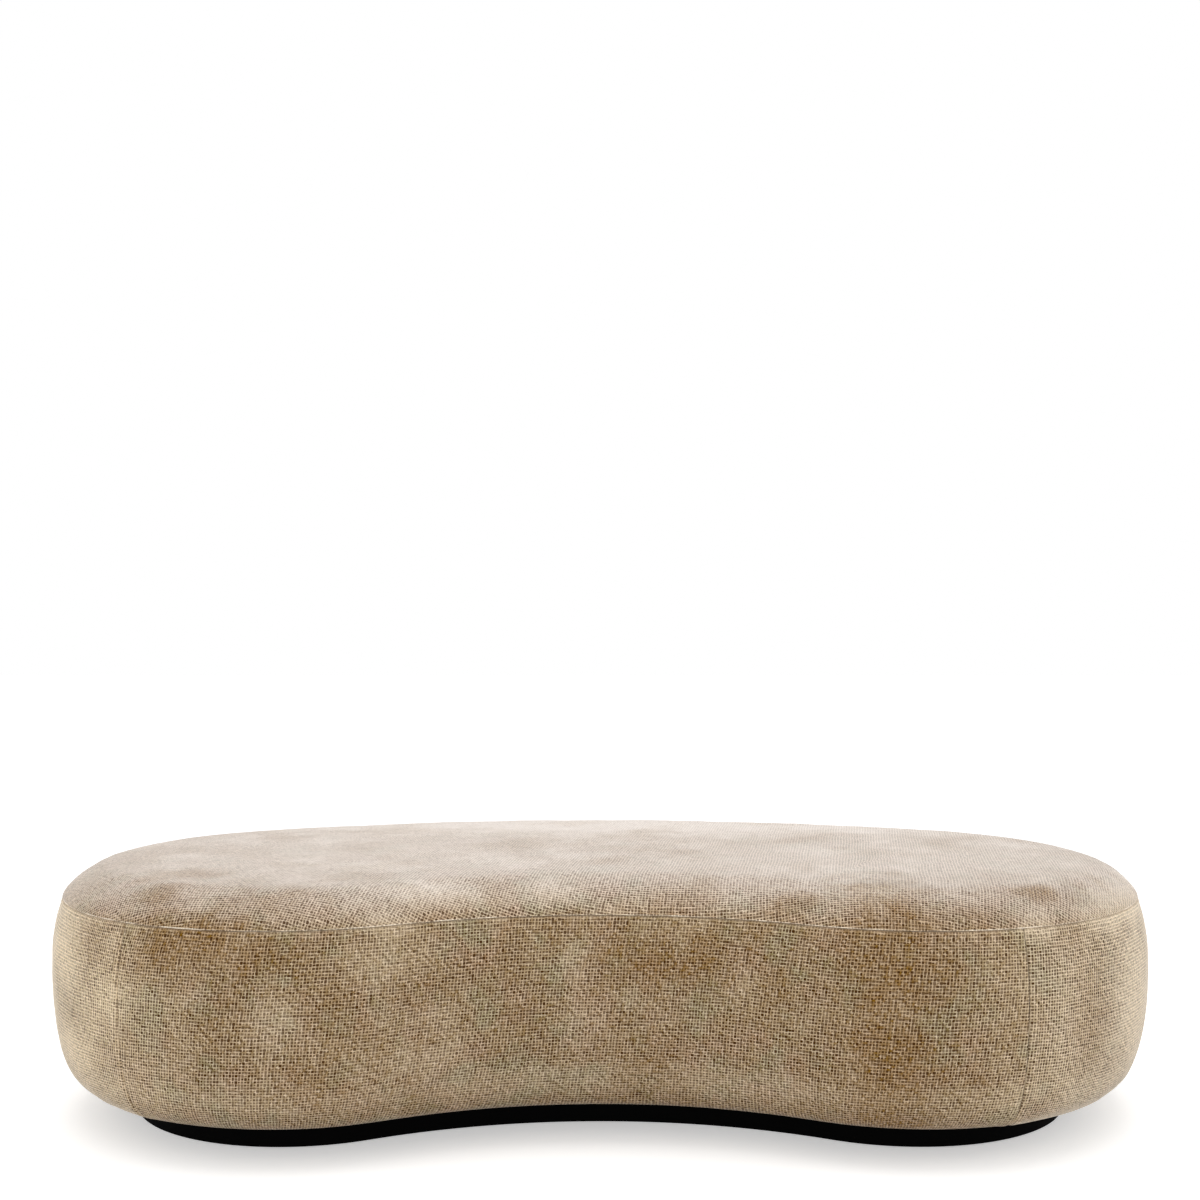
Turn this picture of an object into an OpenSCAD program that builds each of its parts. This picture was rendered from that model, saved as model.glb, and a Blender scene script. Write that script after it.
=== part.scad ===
/* [Overall] */
// Length from end to end
length = 1800; // [1740:10:1900]
// Depth from the front of the lobes to the back
depth = 940; // [900:5:970]
// Height of the crown above the floor
height = 405; // [390:1:425]
// Radius of the rounded ends
end_r = 413; // [400:1:420]
// How deep the front is hollowed
front_hollow = 122; // [100:2:130]

/* [Outside shape] */
// Clear height under the fabric
fabric_z = 50; // [40:1:60]
// Height of the widest line
belly_z = 258; // [225:1:270]
// How far the sides draw in at the bottom edge
bottom_draw = 74; // [60:1:78]
// Squareness of the lower curve
bottom_pow = 2.4; // [2:0.1:3]
// Drop from the crown to the top seam
seam_drop = 52; // [42:1:53]
// How far the sides draw in at the top seam
seam_draw = 16; // [8:1:22]
// Rise of the middle of the crown above its shoulder
crown_rise = 8; // [4:1:14]
// Width of the rounded shoulder
shoulder_w = 92; // [70:1:120]
// Squareness of the shoulder
shoulder_pow = 3; // [2:0.1:3.4]
// Distance over which the crown still rises
crown_w = 270; // [220:5:290]
// Angle of the right side seam round its end, from the long axis
right_seam_angle = 71; // [60:1:80]
// Angle of the left side seam round its end, from the long axis
left_seam_angle = 57; // [45:1:65]

/* [Upholstery] */
// Thickness of the cover fabric
cover_t = 2; // [1:0.1:3]
// Thickness of the wadding
wadding_t = 8; // [5:0.5:10]
// Thickness of the soft top foam
comfort_t = 45; // [44:1:55]
// Thickness of the firm foam
core_t = 50; // [40:1:60]
// Thickness of the insulator felt
felt_t = 3; // [2:0.5:5]
// Width of the hem under the frame
hem_w = 32; // [24:1:40]
// Thickness of the dust cover
dust_t = 1; // [0.5:0.1:1.5]
// Gap between the hem and the dust cover
hem_gap = 2; // [1:0.5:4]

/* [Frame] */
// Thickness of the plywood boards
board_t = 18; // [15:1:20]
// Thickness of the bent skin panels
skin_t = 5; // [3:0.5:6]
// Inset of the skin from the widest line
skin_inset = 86; // [80:1:92]
// Width of the seat rails
rail_w = 90; // [70:1:110]
// Distance of a cross rib from the joint of the rails beside it
rib_joint_gap = 48; // [30:1:70]
// Depth of the scoop in the ribs and the spine
scoop_d = 60; // [40:1:80]
// Gap between the scoop and the rails
scoop_gap = 12; // [5:1:25]
// Clearance in the half lap slots
lap_gap = 0.3; // [0.1:0.1:0.6]
// Distance of the spine behind the centres of the ends
spine_back = 118; // [90:1:130]
// Side of the square end posts
post_w = 45; // [35:1:60]
// Gap between an end post and the skin
post_gap = 2; // [1:1:6]

/* [Webbing] */
// Width of a strap
strap_w = 70; // [50:1:80]
// Thickness of a strap
strap_t = 2; // [1.5:0.1:2.5]
// Number of straps from front to back
cross_count = 9; // [5:2:9]
// Spacing of the straps from front to back
cross_gap = 145; // [110:1:150]
// Number of straps along the length
long_count = 3; // [1:1:4]
// Spacing of the straps along the length
long_gap = 105; // [90:1:115]
// Length over which a strap steps down at its ends
step_l = 12; // [8:1:20]
// Gap between the back strap and where it would meet its step
long_edge_gap = 2; // [1:1:10]
// Inset of the strap ends from the rail edge
strap_end = 15; // [8:1:25]

/* [Plinth] */
// Inset of the plinth from the widest line
plinth_inset = 132; // [126:1:145]
// Thickness of the plinth walls
plinth_t = 18; // [15:1:22]
// Width of the plinth cross rails
bearer_w = 40; // [30:1:60]
// Gap between an outer cross rail and the joint blocks
bearer_gap = 18; // [8:1:60]
// Length of a plinth joint block
block_l = 80; // [60:1:110]
// Width of a plinth joint block
block_w = 42; // [34:1:60]
// Diameter of a floor glide
glide_d = 30; // [22:1:32]
// Thickness of a floor glide
glide_t = 3; // [2:0.5:5]
// Diameter of the pin of a glide
glide_pin_d = 6; // [4:0.5:8]
// Length of the pin of a glide
glide_pin_l = 14; // [10:1:20]

/* [Fixings] */
// Diameter of the screws
screw_d = 5; // [4:0.5:6]
// Diameter of a screw head
head_d = 10; // [8:0.5:12]
// Height of a screw head
head_h = 3; // [2:0.5:4]
// How far a screw reaches into the second piece
screw_bite = 14; // [10:1:14]
// Clearance of a screw in its hole
screw_gap = 0.1; // [0.05:0.05:0.3]
// Distance of a frame screw from the rail edge
screw_edge = 45; // [30:1:55]
// Length of a staple crown
staple_l = 12; // [8:1:14]
// Thickness of a staple crown
staple_t = 0.8; // [0.5:0.1:1.2]
// Staples across the end of a strap
staple_count = 3; // [2:1:5]

/* [Hidden] */

// Plan of the outline: two end circles, a back arc and a hollow front arc, all tangent
cx = length / 2 - end_r;
back_y = depth - end_r;
front_y = front_hollow - end_r;
back_r = (cx * cx + back_y * back_y - end_r * end_r) / (2 * (back_y - end_r));
front_r = (cx * cx + front_y * front_y - end_r * end_r) / (2 * front_hollow);
y_mid = (end_r - back_y) / 2;
end_y = y_mid;
back_cy = back_y - back_r + y_mid;
front_cy = front_y - front_r + y_mid;
back_half = asin(cx / (back_r - end_r));
front_half = asin(cx / (front_r + end_r));

// Heights of the layers, from the floor up
base_z = fabric_z + cover_t;
dust_z = base_z - dust_t;
rib_z = base_z + board_t;
deck_z = height - cover_t - wadding_t - comfort_t - core_t;
split_z = deck_z + core_t;
seam_z = height - seam_drop;
felt_z = deck_z - felt_t;
long_z = felt_z - strap_t;
cross_z = long_z - strap_t;
rail_z = cross_z - board_t;
scoop_z = rail_z - scoop_d;

// Insets of the layers
layer_t = cover_t + wadding_t;
board_inset = skin_inset + skin_t;
hem_inset = bottom_draw + hem_w;
dust_inset = hem_inset + hem_gap;
plinth_in = plinth_inset + plinth_t;
lap_z = (rib_z + scoop_z) / 2;
spine_y = end_y + spine_back;
arc_fn = 720;
hole_fn = 48;
eps = 0.01;

// A spot is a point of the outline with its outward direction
function spot(c, r, a, s) = [[c[0] + r * cos(a), c[1] + r * sin(a)], [s * cos(a), s * sin(a)]];
function arc_spots(c, r, a0, a1, n, s = 1) = [for (k = [0:n]) spot(c, r, a0 + (a1 - a0) * k / n, s)];
function join(a, b) = concat(a, [for (k = [1:len(b) - 1]) b[k]]);
right_front_n = 8;
right_end_n = 21;
back_n = 8;
left_end_n = 19;
left_front_n = 10;
front_n = 10;
right_a = -right_seam_angle;
left_a = 180 + left_seam_angle;
right_front = arc_spots([cx, end_y], end_r, -90 - front_half, right_a, right_front_n);
right_end = arc_spots([cx, end_y], end_r, right_a, 90 - back_half, right_end_n);
back_run = arc_spots([0, back_cy], back_r, 90 - back_half, 90 + back_half, back_n);
left_end = arc_spots([-cx, end_y], end_r, 90 + back_half, left_a, left_end_n);
left_front = arc_spots([-cx, end_y], end_r, left_a, 270 + front_half, left_front_n);
front_run = arc_spots([0, front_cy], front_r, 90 + front_half, 90 - front_half, front_n, -1);
right_run = join(right_front, right_end);
left_run = join(left_end, left_front);
front_band_run = join(join(left_front, front_run), right_front);
back_half_run = join(join(right_end, back_run), left_end);
ring = join(join(join(right_run, back_run), left_run), front_run);
ring_n = len(ring) - 1;
cap_start = ring_n / 4 - front_n / 2;

// Plan of the outline, moved in by o
function outline(o) = [for (k = [0:ring_n - 1]) ring[k][0] - o * ring[k][1]];

// Y of the front and the back edge at x, moved in by o
function front_edge(x, o) = abs(x) < front_joint(o)
  ? front_cy + sqrt(pow(front_r + o, 2) - x * x)
  : end_y - sqrt(pow(end_r - o, 2) - pow(abs(x) - cx, 2));
function back_edge(x, o) = abs(x) < back_joint(o)
  ? back_cy + sqrt(pow(back_r - o, 2) - x * x)
  : end_y + sqrt(pow(end_r - o, 2) - pow(abs(x) - cx, 2));

// Y of the back half of an end at x, and X of an end at y, moved in by o
function end_edge(x, o) = end_y + sqrt(pow(end_r - o, 2) - pow(x - cx, 2));
function end_tip(y, o) = cx + sqrt(pow(end_r - o, 2) - pow(y - end_y, 2));

// Section of the outside, as points of inset and height
lower_n = 5;
function lower_at(a) = [
  bottom_draw * (1 - pow(sin(a), 2 / bottom_pow)),
  belly_z - (belly_z - fabric_z) * pow(cos(a), 2 / bottom_pow)
];
function upper_at(z) = [seam_draw * pow((z - belly_z) / (seam_z - belly_z), 2), z];
crown_n = 5;
function crown_at(t) = let (e = min(1, t * crown_w / shoulder_w)) [
  seam_draw + crown_w * t,
  seam_z + (seam_drop - crown_rise) * (1 - pow(1 - e, shoulder_pow)) + crown_rise * (1 - pow(1 - t, 2))
];
lower_pts = [for (k = [0:lower_n]) lower_at(90 * k / lower_n)];
upper_pts = [for (z = [deck_z, split_z, seam_z]) upper_at(z)];
crown_pts = [for (k = [1:crown_n]) crown_at(pow(k / crown_n, 1.7))];

// The same section at a depth t below the surface
function inward(p, k) = let (d = p[min(k + 1, len(p) - 1)] - p[max(k - 1, 0)]) [d[1], -d[0]] / norm(d);
function into(p, k, t) = p[k] + t * inward(p, k);
shoulder_pts = concat([upper_at(seam_z)], crown_pts);
function lower_in(t) = [for (k = [0:lower_n])
  k == 0 ? lower_pts[0] + [0, t] : k == lower_n ? lower_pts[k] + [t, 0] : into(lower_pts, k, t)];
function upper_in(t) = [for (p = upper_pts) p + [t, 0]];
function crown_in(t) = [for (k = [1:crown_n])
  k == crown_n ? shoulder_pts[k] - [0, t] : into(shoulder_pts, k, t)];
function flip(p) = [for (k = [len(p) - 1:-1:0]) p[k]];
function upto(p, n) = [for (k = [0:n - 1]) p[k]];

// Triangles between the rings of points of a loft, and over its ends
function quad(a, b, c, d) = [[a, b, c], [a, c, d]];
function flat(l) = [for (a = l) for (b = a) b];
function side_faces(n, m, closed) = flat([
  for (i = [0:n - 2]) for (j = [0:closed ? m - 1 : m - 2]) let (k = (j + 1) % m)
    quad(i * m + j, i * m + k, (i + 1) * m + k, (i + 1) * m + j)]);
function place(s, p) = [s[0][0] - p[0] * s[1][0], s[0][1] - p[0] * s[1][1], p[1]];

// A layer that follows a run of the outline between two sections of as many points
module layer(run, outer, inner) {
  m = len(outer) * 2;
  h = len(outer);
  n = len(run);
  points = [for (s = run) for (p = concat(outer, flip(inner))) place(s, p)];
  last = (n - 1) * m;
  ends = flat([for (k = [0:h - 2]) concat(
    quad(k, m - 1 - k, m - 2 - k, k + 1),
    quad(last + k + 1, last + m - 2 - k, last + m - 1 - k, last + k))]);
  polyhedron(points, concat(side_faces(n, m, true), ends));
}

// A lid over the whole outline: its section runs from the underside out and up to the top
module lid(section) {
  m = len(section);
  points = [for (k = [0:ring_n]) for (p = section) place(ring[k % ring_n], p)];
  function at(i, j) = ((cap_start + i + ring_n) % ring_n) * m + j;
  caps = flat([for (i = [0:ring_n / 2 - 1]) concat(
    quad(at(i, 0), at(i + 1, 0), at(-i - 1, 0), at(-i, 0)),
    quad(at(-i, m - 1), at(-i - 1, m - 1), at(i + 1, m - 1), at(i, m - 1)))]);
  whole = [for (f = concat(side_faces(ring_n + 1, m, false), caps))
    [for (v = f) v % (ring_n * m)]];
  polyhedron(upto(points, ring_n * m), [for (f = whole)
    if (f[0] != f[1] && f[1] != f[2] && f[0] != f[2]) f]);
}

// A flat board over the whole outline, moved in by o
module board(o, z0, z1) {
  translate([0, 0, z0]) linear_extrude(z1 - z0) polygon(outline(o));
}

// A flat strip that follows a run of the outline
module strip(run, o0, o1, z0, z1) {
  translate([0, 0, z0]) linear_extrude(z1 - z0)
    polygon(concat([for (s = run) s[0] - o0 * s[1]], [for (s = flip(run)) s[0] - o1 * s[1]]));
}

// A wall swept about a centre, between two radii and two angles
module arc_wall(c, r0, r1, a0, a1, z0, z1) {
  translate([c[0], c[1], z0]) rotate([0, 0, a0])
    rotate_extrude(angle = a1 - a0, $fn = arc_fn)
      translate([r0, 0]) square([r1 - r0, z1 - z0]);
}

// Inside of the plinth walls, for what fits between them
module plinth_room() {
  difference() {
    translate([0, back_cy, 0]) cylinder(r = back_r - plinth_in, h = dust_z, $fn = arc_fn);
    translate([0, front_cy, -eps])
      cylinder(r = front_r + plinth_in, h = dust_z + 2 * eps, $fn = arc_fn);
  }
}

// X of the joints of the front and the back arc with the ends, moved in by o
function front_joint(o) = (front_r + o) * sin(front_half);
function back_joint(o) = (back_r - o) * sin(back_half);

// Places of the ribs and straps
rib_in_x = front_joint(board_inset) - rib_joint_gap;
rib_out_x = back_joint(board_inset) - rib_joint_gap;
rib_xs = [-rib_out_x, -rib_in_x, 0, rib_in_x, rib_out_x];
cross_xs = [for (k = [0:cross_count - 1]) (k - (cross_count - 1) / 2) * cross_gap];
cross_end = cross_xs[cross_count - 1] + strap_w / 2;
step_x = cross_end + strap_t;
staple_inset = board_inset + 2 * strap_end;
long_back_y = end_edge(step_x + step_l, staple_inset) - long_edge_gap - strap_w / 2;
long_ys = [for (k = [0:long_count - 1]) long_back_y - k * long_gap];

// An end post stands half way between the spine and the outer rib, on either side of the spine
post_r = end_r - board_inset - post_gap - post_w / 2;
spine_a = asin(spine_back / post_r);
rib_a = acos((rib_out_x - cx) / post_r);
post_angles = [(spine_a + rib_a) / 2, (spine_a - rib_a) / 2];

// Places of the blocks and the rails of the plinth
block_a = -90 - front_half;
block_angles = [block_a, 0, 90 - back_half];
block_r = end_r - plinth_in - block_w / 2;
block_x = cx + block_r * cos(block_a) + (block_l * sin(block_a) + block_w * cos(block_a)) / 2;
bearer_x = block_x - bearer_gap - bearer_w / 2;
bearer_xs = [-bearer_x, 0, bearer_x];
wall_h = dust_z - glide_t;

glide_in = 30;
bearer_screw_in = 90;
block_half = block_l / 4;
glide_spots = concat(
  [for (x = bearer_xs) [x, front_edge(x, plinth_in) + glide_in]],
  [for (x = bearer_xs) [x, back_edge(x, plinth_in) - glide_in]],
  [for (s = [-1, 1]) for (a = block_angles) block_point(s, a, -block_half)]);
plinth_screw_spots = concat(
  [for (x = bearer_xs) [x, front_edge(x, plinth_in) + bearer_screw_in]],
  [for (x = bearer_xs) [x, back_edge(x, plinth_in) - bearer_screw_in]],
  [for (s = [-1, 1]) for (a = block_angles) block_point(s, a, block_half)]);

// Point on a joint block, at a distance t along it
function block_point(s, a, t) = [
  s * (cx + block_r * cos(a) - t * sin(a)),
  end_y + block_r * sin(a) + t * cos(a)
];

// A screw with its head down, and the hole that it sits in
module screw(z0, l, grow = 0) {
  translate([0, 0, z0 - grow]) cylinder(d = head_d + 2 * grow, h = head_h + grow, $fn = hole_fn);
  translate([0, 0, z0]) cylinder(d = screw_d + 2 * grow, h = l + grow, $fn = hole_fn);
}

// The same screw with its head up
module screw_down(z1, l, grow = 0) {
  translate([0, 0, z1]) mirror([0, 0, 1]) screw(0, l, grow);
}

// The screws that hold the plinth, from below
module plinth_fixings(grow = 0) {
  for (p = plinth_screw_spots) translate([p[0], p[1], 0])
    screw(glide_t, wall_h + dust_t + screw_bite, grow);
}

// The screws that hold the ribs, up through the base board
module rib_fixings(grow = 0) {
  for (x = rib_xs) for (y = [front_edge(x, board_inset + screw_edge),
      back_edge(x, board_inset + screw_edge)])
    translate([x, y, 0]) screw(base_z, board_t + screw_bite, grow);
}

// The screws that hold the seat rails, down into the ribs
module rail_fixings(grow = 0) {
  for (x = rib_xs) for (y = [front_edge(x, board_inset + screw_edge),
      back_edge(x, board_inset + screw_edge)])
    translate([x, y, 0]) screw_down(cross_z, board_t + screw_bite, grow);
}

// The pins of the glides
module glide_pins(grow = 0) {
  for (p = glide_spots) translate([p[0], p[1], glide_t - eps])
    cylinder(d = glide_pin_d + 2 * grow, h = glide_pin_l + grow + eps, $fn = hole_fn);
}

module floor_glides() {
  color("dimgray") {
    for (p = glide_spots) translate([p[0], p[1], 0]) {
      cylinder(d = glide_d, h = glide_t, $fn = hole_fn);
      cylinder(d = glide_pin_d, h = glide_t + glide_pin_l, $fn = hole_fn);
    }
  }
}

module plinth_front_wall() {
  color("black") arc_wall([0, front_cy], front_r + plinth_inset, front_r + plinth_in,
    90 - front_half, 90 + front_half, glide_t, dust_z);
}

module plinth_back_wall() {
  color("black") arc_wall([0, back_cy], back_r - plinth_in, back_r - plinth_inset,
    90 - back_half, 90 + back_half, glide_t, dust_z);
}

module plinth_right_end() {
  color("black") arc_wall([cx, end_y], end_r - plinth_in, end_r - plinth_inset,
    -90 - front_half, 90 - back_half, glide_t, dust_z);
}

module plinth_left_end() {
  color("black") arc_wall([-cx, end_y], end_r - plinth_in, end_r - plinth_inset,
    90 + back_half, 270 + front_half, glide_t, dust_z);
}

module bearer(x) {
  color("peru") difference() {
    intersection() {
      translate([x - bearer_w / 2, -depth / 2, glide_t]) cube([bearer_w, depth, wall_h]);
      plinth_room();
    }
    plinth_fixings(screw_gap);
    glide_pins(screw_gap);
  }
}

module plinth_left_bearer() {
  bearer(-bearer_x);
}

module plinth_middle_bearer() {
  bearer(0);
}

module plinth_right_bearer() {
  bearer(bearer_x);
}

module plinth_joint_blocks() {
  color("peru") difference() {
    for (s = [-1, 1]) for (a = block_angles)
      intersection() {
        translate([s * cx, end_y, glide_t]) rotate([0, 0, s > 0 ? a : 180 - a])
          translate([end_r - plinth_in - block_w, -block_l / 2, 0])
            cube([block_w, block_l, wall_h]);
        translate([s * cx, end_y, 0]) cylinder(r = end_r - plinth_in, h = dust_z, $fn = arc_fn);
      }
    plinth_fixings(screw_gap);
    glide_pins(screw_gap);
  }
}

module plinth_screws() {
  color("silver") plinth_fixings();
}

module base_board() {
  color("burlywood") difference() {
    board(board_inset, base_z, rib_z);
    plinth_fixings(screw_gap);
    rib_fixings(screw_gap);
  }
}

module spine_board() {
  color("wheat") difference() {
    intersection() {
      translate([-length / 2, spine_y - board_t / 2, rib_z])
        cube([length, board_t, scoop_z - rib_z]);
      board(board_inset, base_z, height);
    }
    for (x = rib_xs)
      translate([x - board_t / 2 - lap_gap, spine_y - board_t, lap_z - lap_gap])
        cube([board_t + 2 * lap_gap, 2 * board_t, scoop_z]);
  }
}

module cross_ribs() {
  color("wheat") difference() {
    intersection() {
      for (x = rib_xs) translate([x - board_t / 2, -depth / 2, rib_z])
        cube([board_t, depth, rail_z - rib_z]);
      board(board_inset, base_z, height);
    }
    for (x = rib_xs) {
      y0 = front_edge(x, board_inset + rail_w) + scoop_gap;
      y1 = back_edge(x, board_inset + rail_w) - scoop_gap;
      translate([x - board_t, y0, scoop_z]) cube([2 * board_t, y1 - y0, height]);
      translate([x - board_t, spine_y - board_t / 2 - lap_gap, rib_z - eps])
        cube([2 * board_t, board_t + 2 * lap_gap, lap_z - rib_z + lap_gap]);
    }
    rib_fixings(screw_gap);
    rail_fixings(screw_gap);
  }
}

module end_posts() {
  color("peru") for (s = [-1, 1]) for (a = post_angles)
    translate([s * cx, end_y, rib_z]) rotate([0, 0, s > 0 ? a : 180 - a])
      translate([post_r - post_w / 2, -post_w / 2, 0]) cube([post_w, post_w, rail_z - rib_z]);
}

module rib_screws() {
  color("silver") rib_fixings();
}

module seat_rail(run) {
  color("burlywood") difference() {
    strip(run, board_inset, board_inset + rail_w, rail_z, cross_z);
    rail_fixings(screw_gap);
  }
}

module seat_front_rail() {
  seat_rail(front_run);
}

module seat_back_rail() {
  seat_rail(back_run);
}

module seat_left_rail() {
  seat_rail(left_run);
}

module seat_right_rail() {
  seat_rail(right_run);
}

module seat_rail_screws() {
  color("silver") rail_fixings();
}

module skin(run) {
  color("tan") strip(run, skin_inset, board_inset, base_z, cross_z);
}

module front_skin() {
  skin(front_run);
}

module back_skin() {
  skin(back_run);
}

module left_skin() {
  skin(left_run);
}

module right_skin() {
  skin(right_run);
}

module cross_webbing() {
  color("dimgray") intersection() {
    for (x = cross_xs) translate([x - strap_w / 2, -depth / 2, cross_z])
      cube([strap_w, depth, strap_t]);
    board(board_inset + strap_end, base_z, height);
  }
}

// A strap along the length: it lies on the cross straps and steps down to the end rails
module long_strap(y) {
  low = [
    [-length / 2, cross_z], [-step_x - step_l, cross_z], [-step_x, long_z],
    [step_x, long_z], [step_x + step_l, cross_z], [length / 2, cross_z]
  ];
  translate([0, y + strap_w / 2, 0]) rotate([90, 0, 0]) linear_extrude(strap_w)
    polygon(concat(low, [for (p = flip(low)) p + [0, strap_t]]));
}

module long_webbing() {
  color("dimgray") intersection() {
    for (y = long_ys) long_strap(y);
    board(board_inset + strap_end, base_z, height);
  }
}

// Crown of a staple that lies on a surface
module staple(l = staple_l) {
  translate([-l / 2, -staple_t / 2, 0]) cube([l, staple_t, staple_t]);
}

module webbing_staples() {
  color("silver") {
    for (x = cross_xs) for (k = [0:staple_count - 1]) {
      sx = x + strap_w * ((k + 0.5) / staple_count - 0.5);
      for (y = [front_edge(sx, staple_inset), back_edge(sx, staple_inset)])
        translate([sx, y, cross_z + strap_t]) staple();
    }
    for (y = long_ys) for (k = [0:staple_count - 1]) for (s = [-1, 1]) {
      sy = y + strap_w * ((k + 0.5) / staple_count - 0.5);
      translate([s * end_tip(sy, staple_inset), sy, cross_z + strap_t])
        rotate([0, 0, 90]) staple();
    }
  }
}

module insulator_felt() {
  color("gray") board(board_inset, felt_z, deck_z);
}

module seat_core_foam() {
  side = upper_in(layer_t);
  color("khaki") lid([side[0], side[1]]);
}

module seat_comfort_foam() {
  side = upper_in(layer_t);
  color("lemonchiffon") lid(concat([side[1], side[2]], crown_in(layer_t)));
}

module side_foam(run) {
  outer = concat([[skin_inset, base_z + wadding_t]], lower_in(layer_t), [upper_in(layer_t)[0]]);
  inner = [for (p = outer) [skin_inset, p[1]]];
  color("khaki") layer(run, outer, inner);
}

module front_side_foam() {
  side_foam(front_run);
}

module back_side_foam() {
  side_foam(back_run);
}

module left_side_foam() {
  side_foam(left_run);
}

module right_side_foam() {
  side_foam(right_run);
}

module top_wadding() {
  color("white") lid(concat(
    flip(concat([upper_in(layer_t)[2]], crown_in(layer_t))),
    [upper_in(cover_t)[2]], crown_in(cover_t)));
}

module side_wadding(run) {
  color("white") layer(run,
    concat([[skin_inset, base_z]], lower_in(cover_t), upper_in(cover_t)),
    concat([[skin_inset, base_z + wadding_t]], lower_in(layer_t), upper_in(layer_t)));
}

module front_side_wadding() {
  side_wadding(front_band_run);
}

module back_side_wadding() {
  side_wadding(back_half_run);
}

module cover_top_panel() {
  color([0.78, 0.68, 0.55]) lid(concat(
    flip(concat([upper_in(cover_t)[2]], crown_in(cover_t))),
    [upper_in(0)[2]], crown_in(0)));
}

module cover_band(run) {
  color([0.66, 0.54, 0.40]) layer(run,
    concat([[hem_inset, fabric_z]], lower_in(0), upper_in(0)),
    concat([[hem_inset, base_z]], lower_in(cover_t), upper_in(cover_t)));
}

module cover_front_band() {
  cover_band(front_band_run);
}

module cover_back_band() {
  cover_band(back_run);
}

module cover_left_band() {
  cover_band(left_end);
}

module cover_right_band() {
  cover_band(right_end);
}

// Staple crowns that follow the outline, one at every n-th spot
module staple_row(o, z, n) {
  for (k = [0:n:ring_n - 1]) {
    s = ring[k];
    p = s[0] - o * s[1];
    translate([p[0], p[1], z - staple_t]) rotate([0, 0, atan2(s[1][1], s[1][0]) + 90]) staple();
  }
}

module hem_staples() {
  color("silver") staple_row((board_inset + hem_inset) / 2, fabric_z, 1);
}

module dust_cover() {
  color([0.1, 0.1, 0.1]) difference() {
    board(dust_inset, dust_z, base_z);
    plinth_fixings(screw_gap);
  }
}

module dust_cover_staples() {
  color("silver") staple_row((dust_inset + plinth_inset) / 2, dust_z, 2);
}

floor_glides();
plinth_front_wall();
plinth_back_wall();
plinth_left_end();
plinth_right_end();
plinth_left_bearer();
plinth_middle_bearer();
plinth_right_bearer();
plinth_joint_blocks();
plinth_screws();
base_board();
spine_board();
cross_ribs();
end_posts();
rib_screws();
seat_front_rail();
seat_back_rail();
seat_left_rail();
seat_right_rail();
seat_rail_screws();
front_skin();
back_skin();
left_skin();
right_skin();
cross_webbing();
long_webbing();
webbing_staples();
insulator_felt();
seat_core_foam();
seat_comfort_foam();
front_side_foam();
back_side_foam();
left_side_foam();
right_side_foam();
top_wadding();
front_side_wadding();
back_side_wadding();
cover_top_panel();
cover_front_band();
cover_back_band();
cover_left_band();
cover_right_band();
hem_staples();
dust_cover();
dust_cover_staples();
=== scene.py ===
from math import asin, atan2, ceil, cos, degrees, hypot, pi, radians, sin

import bpy
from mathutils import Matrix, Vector, noise


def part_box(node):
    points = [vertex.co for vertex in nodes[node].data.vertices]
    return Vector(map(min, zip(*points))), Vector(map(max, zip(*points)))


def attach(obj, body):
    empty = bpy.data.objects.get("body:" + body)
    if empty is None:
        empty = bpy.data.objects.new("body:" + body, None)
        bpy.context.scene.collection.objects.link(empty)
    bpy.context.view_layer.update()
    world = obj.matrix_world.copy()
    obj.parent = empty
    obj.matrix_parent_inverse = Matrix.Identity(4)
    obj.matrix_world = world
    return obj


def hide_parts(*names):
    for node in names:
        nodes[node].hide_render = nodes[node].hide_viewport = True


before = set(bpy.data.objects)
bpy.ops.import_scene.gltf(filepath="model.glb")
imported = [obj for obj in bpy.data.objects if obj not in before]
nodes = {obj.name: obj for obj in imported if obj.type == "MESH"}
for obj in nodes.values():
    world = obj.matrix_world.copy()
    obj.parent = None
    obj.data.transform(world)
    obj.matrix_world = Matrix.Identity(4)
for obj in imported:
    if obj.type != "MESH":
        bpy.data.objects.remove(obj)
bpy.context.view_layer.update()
print("frame loaded:", len(nodes), "nodes")


# The bench: its plan and its section, in metres and degrees

bench = {
    "length": 1.8,
    "depth": 0.94,
    "height": 0.405,
    "endRadius": 0.413,
    "frontHollow": 0.122,
    "fabricHeight": 0.05,
    "bellyHeight": 0.258,
    "bottomDraw": 0.074,
    "bottomPower": 2.4,
    "seamDrop": 0.052,
    "seamDraw": 0.016,
    "crownRise": 0.008,
    "shoulderWidth": 0.092,
    "shoulderPower": 2.2,
    "shoulderFullness": 0.7,   # lower is fuller just above the seam
    "crownWidth": 0.27,
    "rightSeam": -71.0,   # where the right side seam stands, as an angle round its end
    "leftSeam": 237.0,
}

endRadius = bench["endRadius"]
endX = bench["length"] / 2 - endRadius
backY = bench["depth"] - endRadius
frontY = bench["frontHollow"] - endRadius
backRadius = (endX ** 2 + backY ** 2 - endRadius ** 2) / (2 * (backY - endRadius))
frontRadius = (endX ** 2 + frontY ** 2 - endRadius ** 2) / (2 * bench["frontHollow"])
endY = (endRadius - backY) / 2
backCentreY = backY - backRadius + endY
frontCentreY = frontY - frontRadius + endY
backHalf = degrees(asin(endX / (backRadius - endRadius)))
frontHalf = degrees(asin(endX / (frontRadius + endRadius)))
seamHeight = bench["height"] - bench["seamDrop"]

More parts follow.
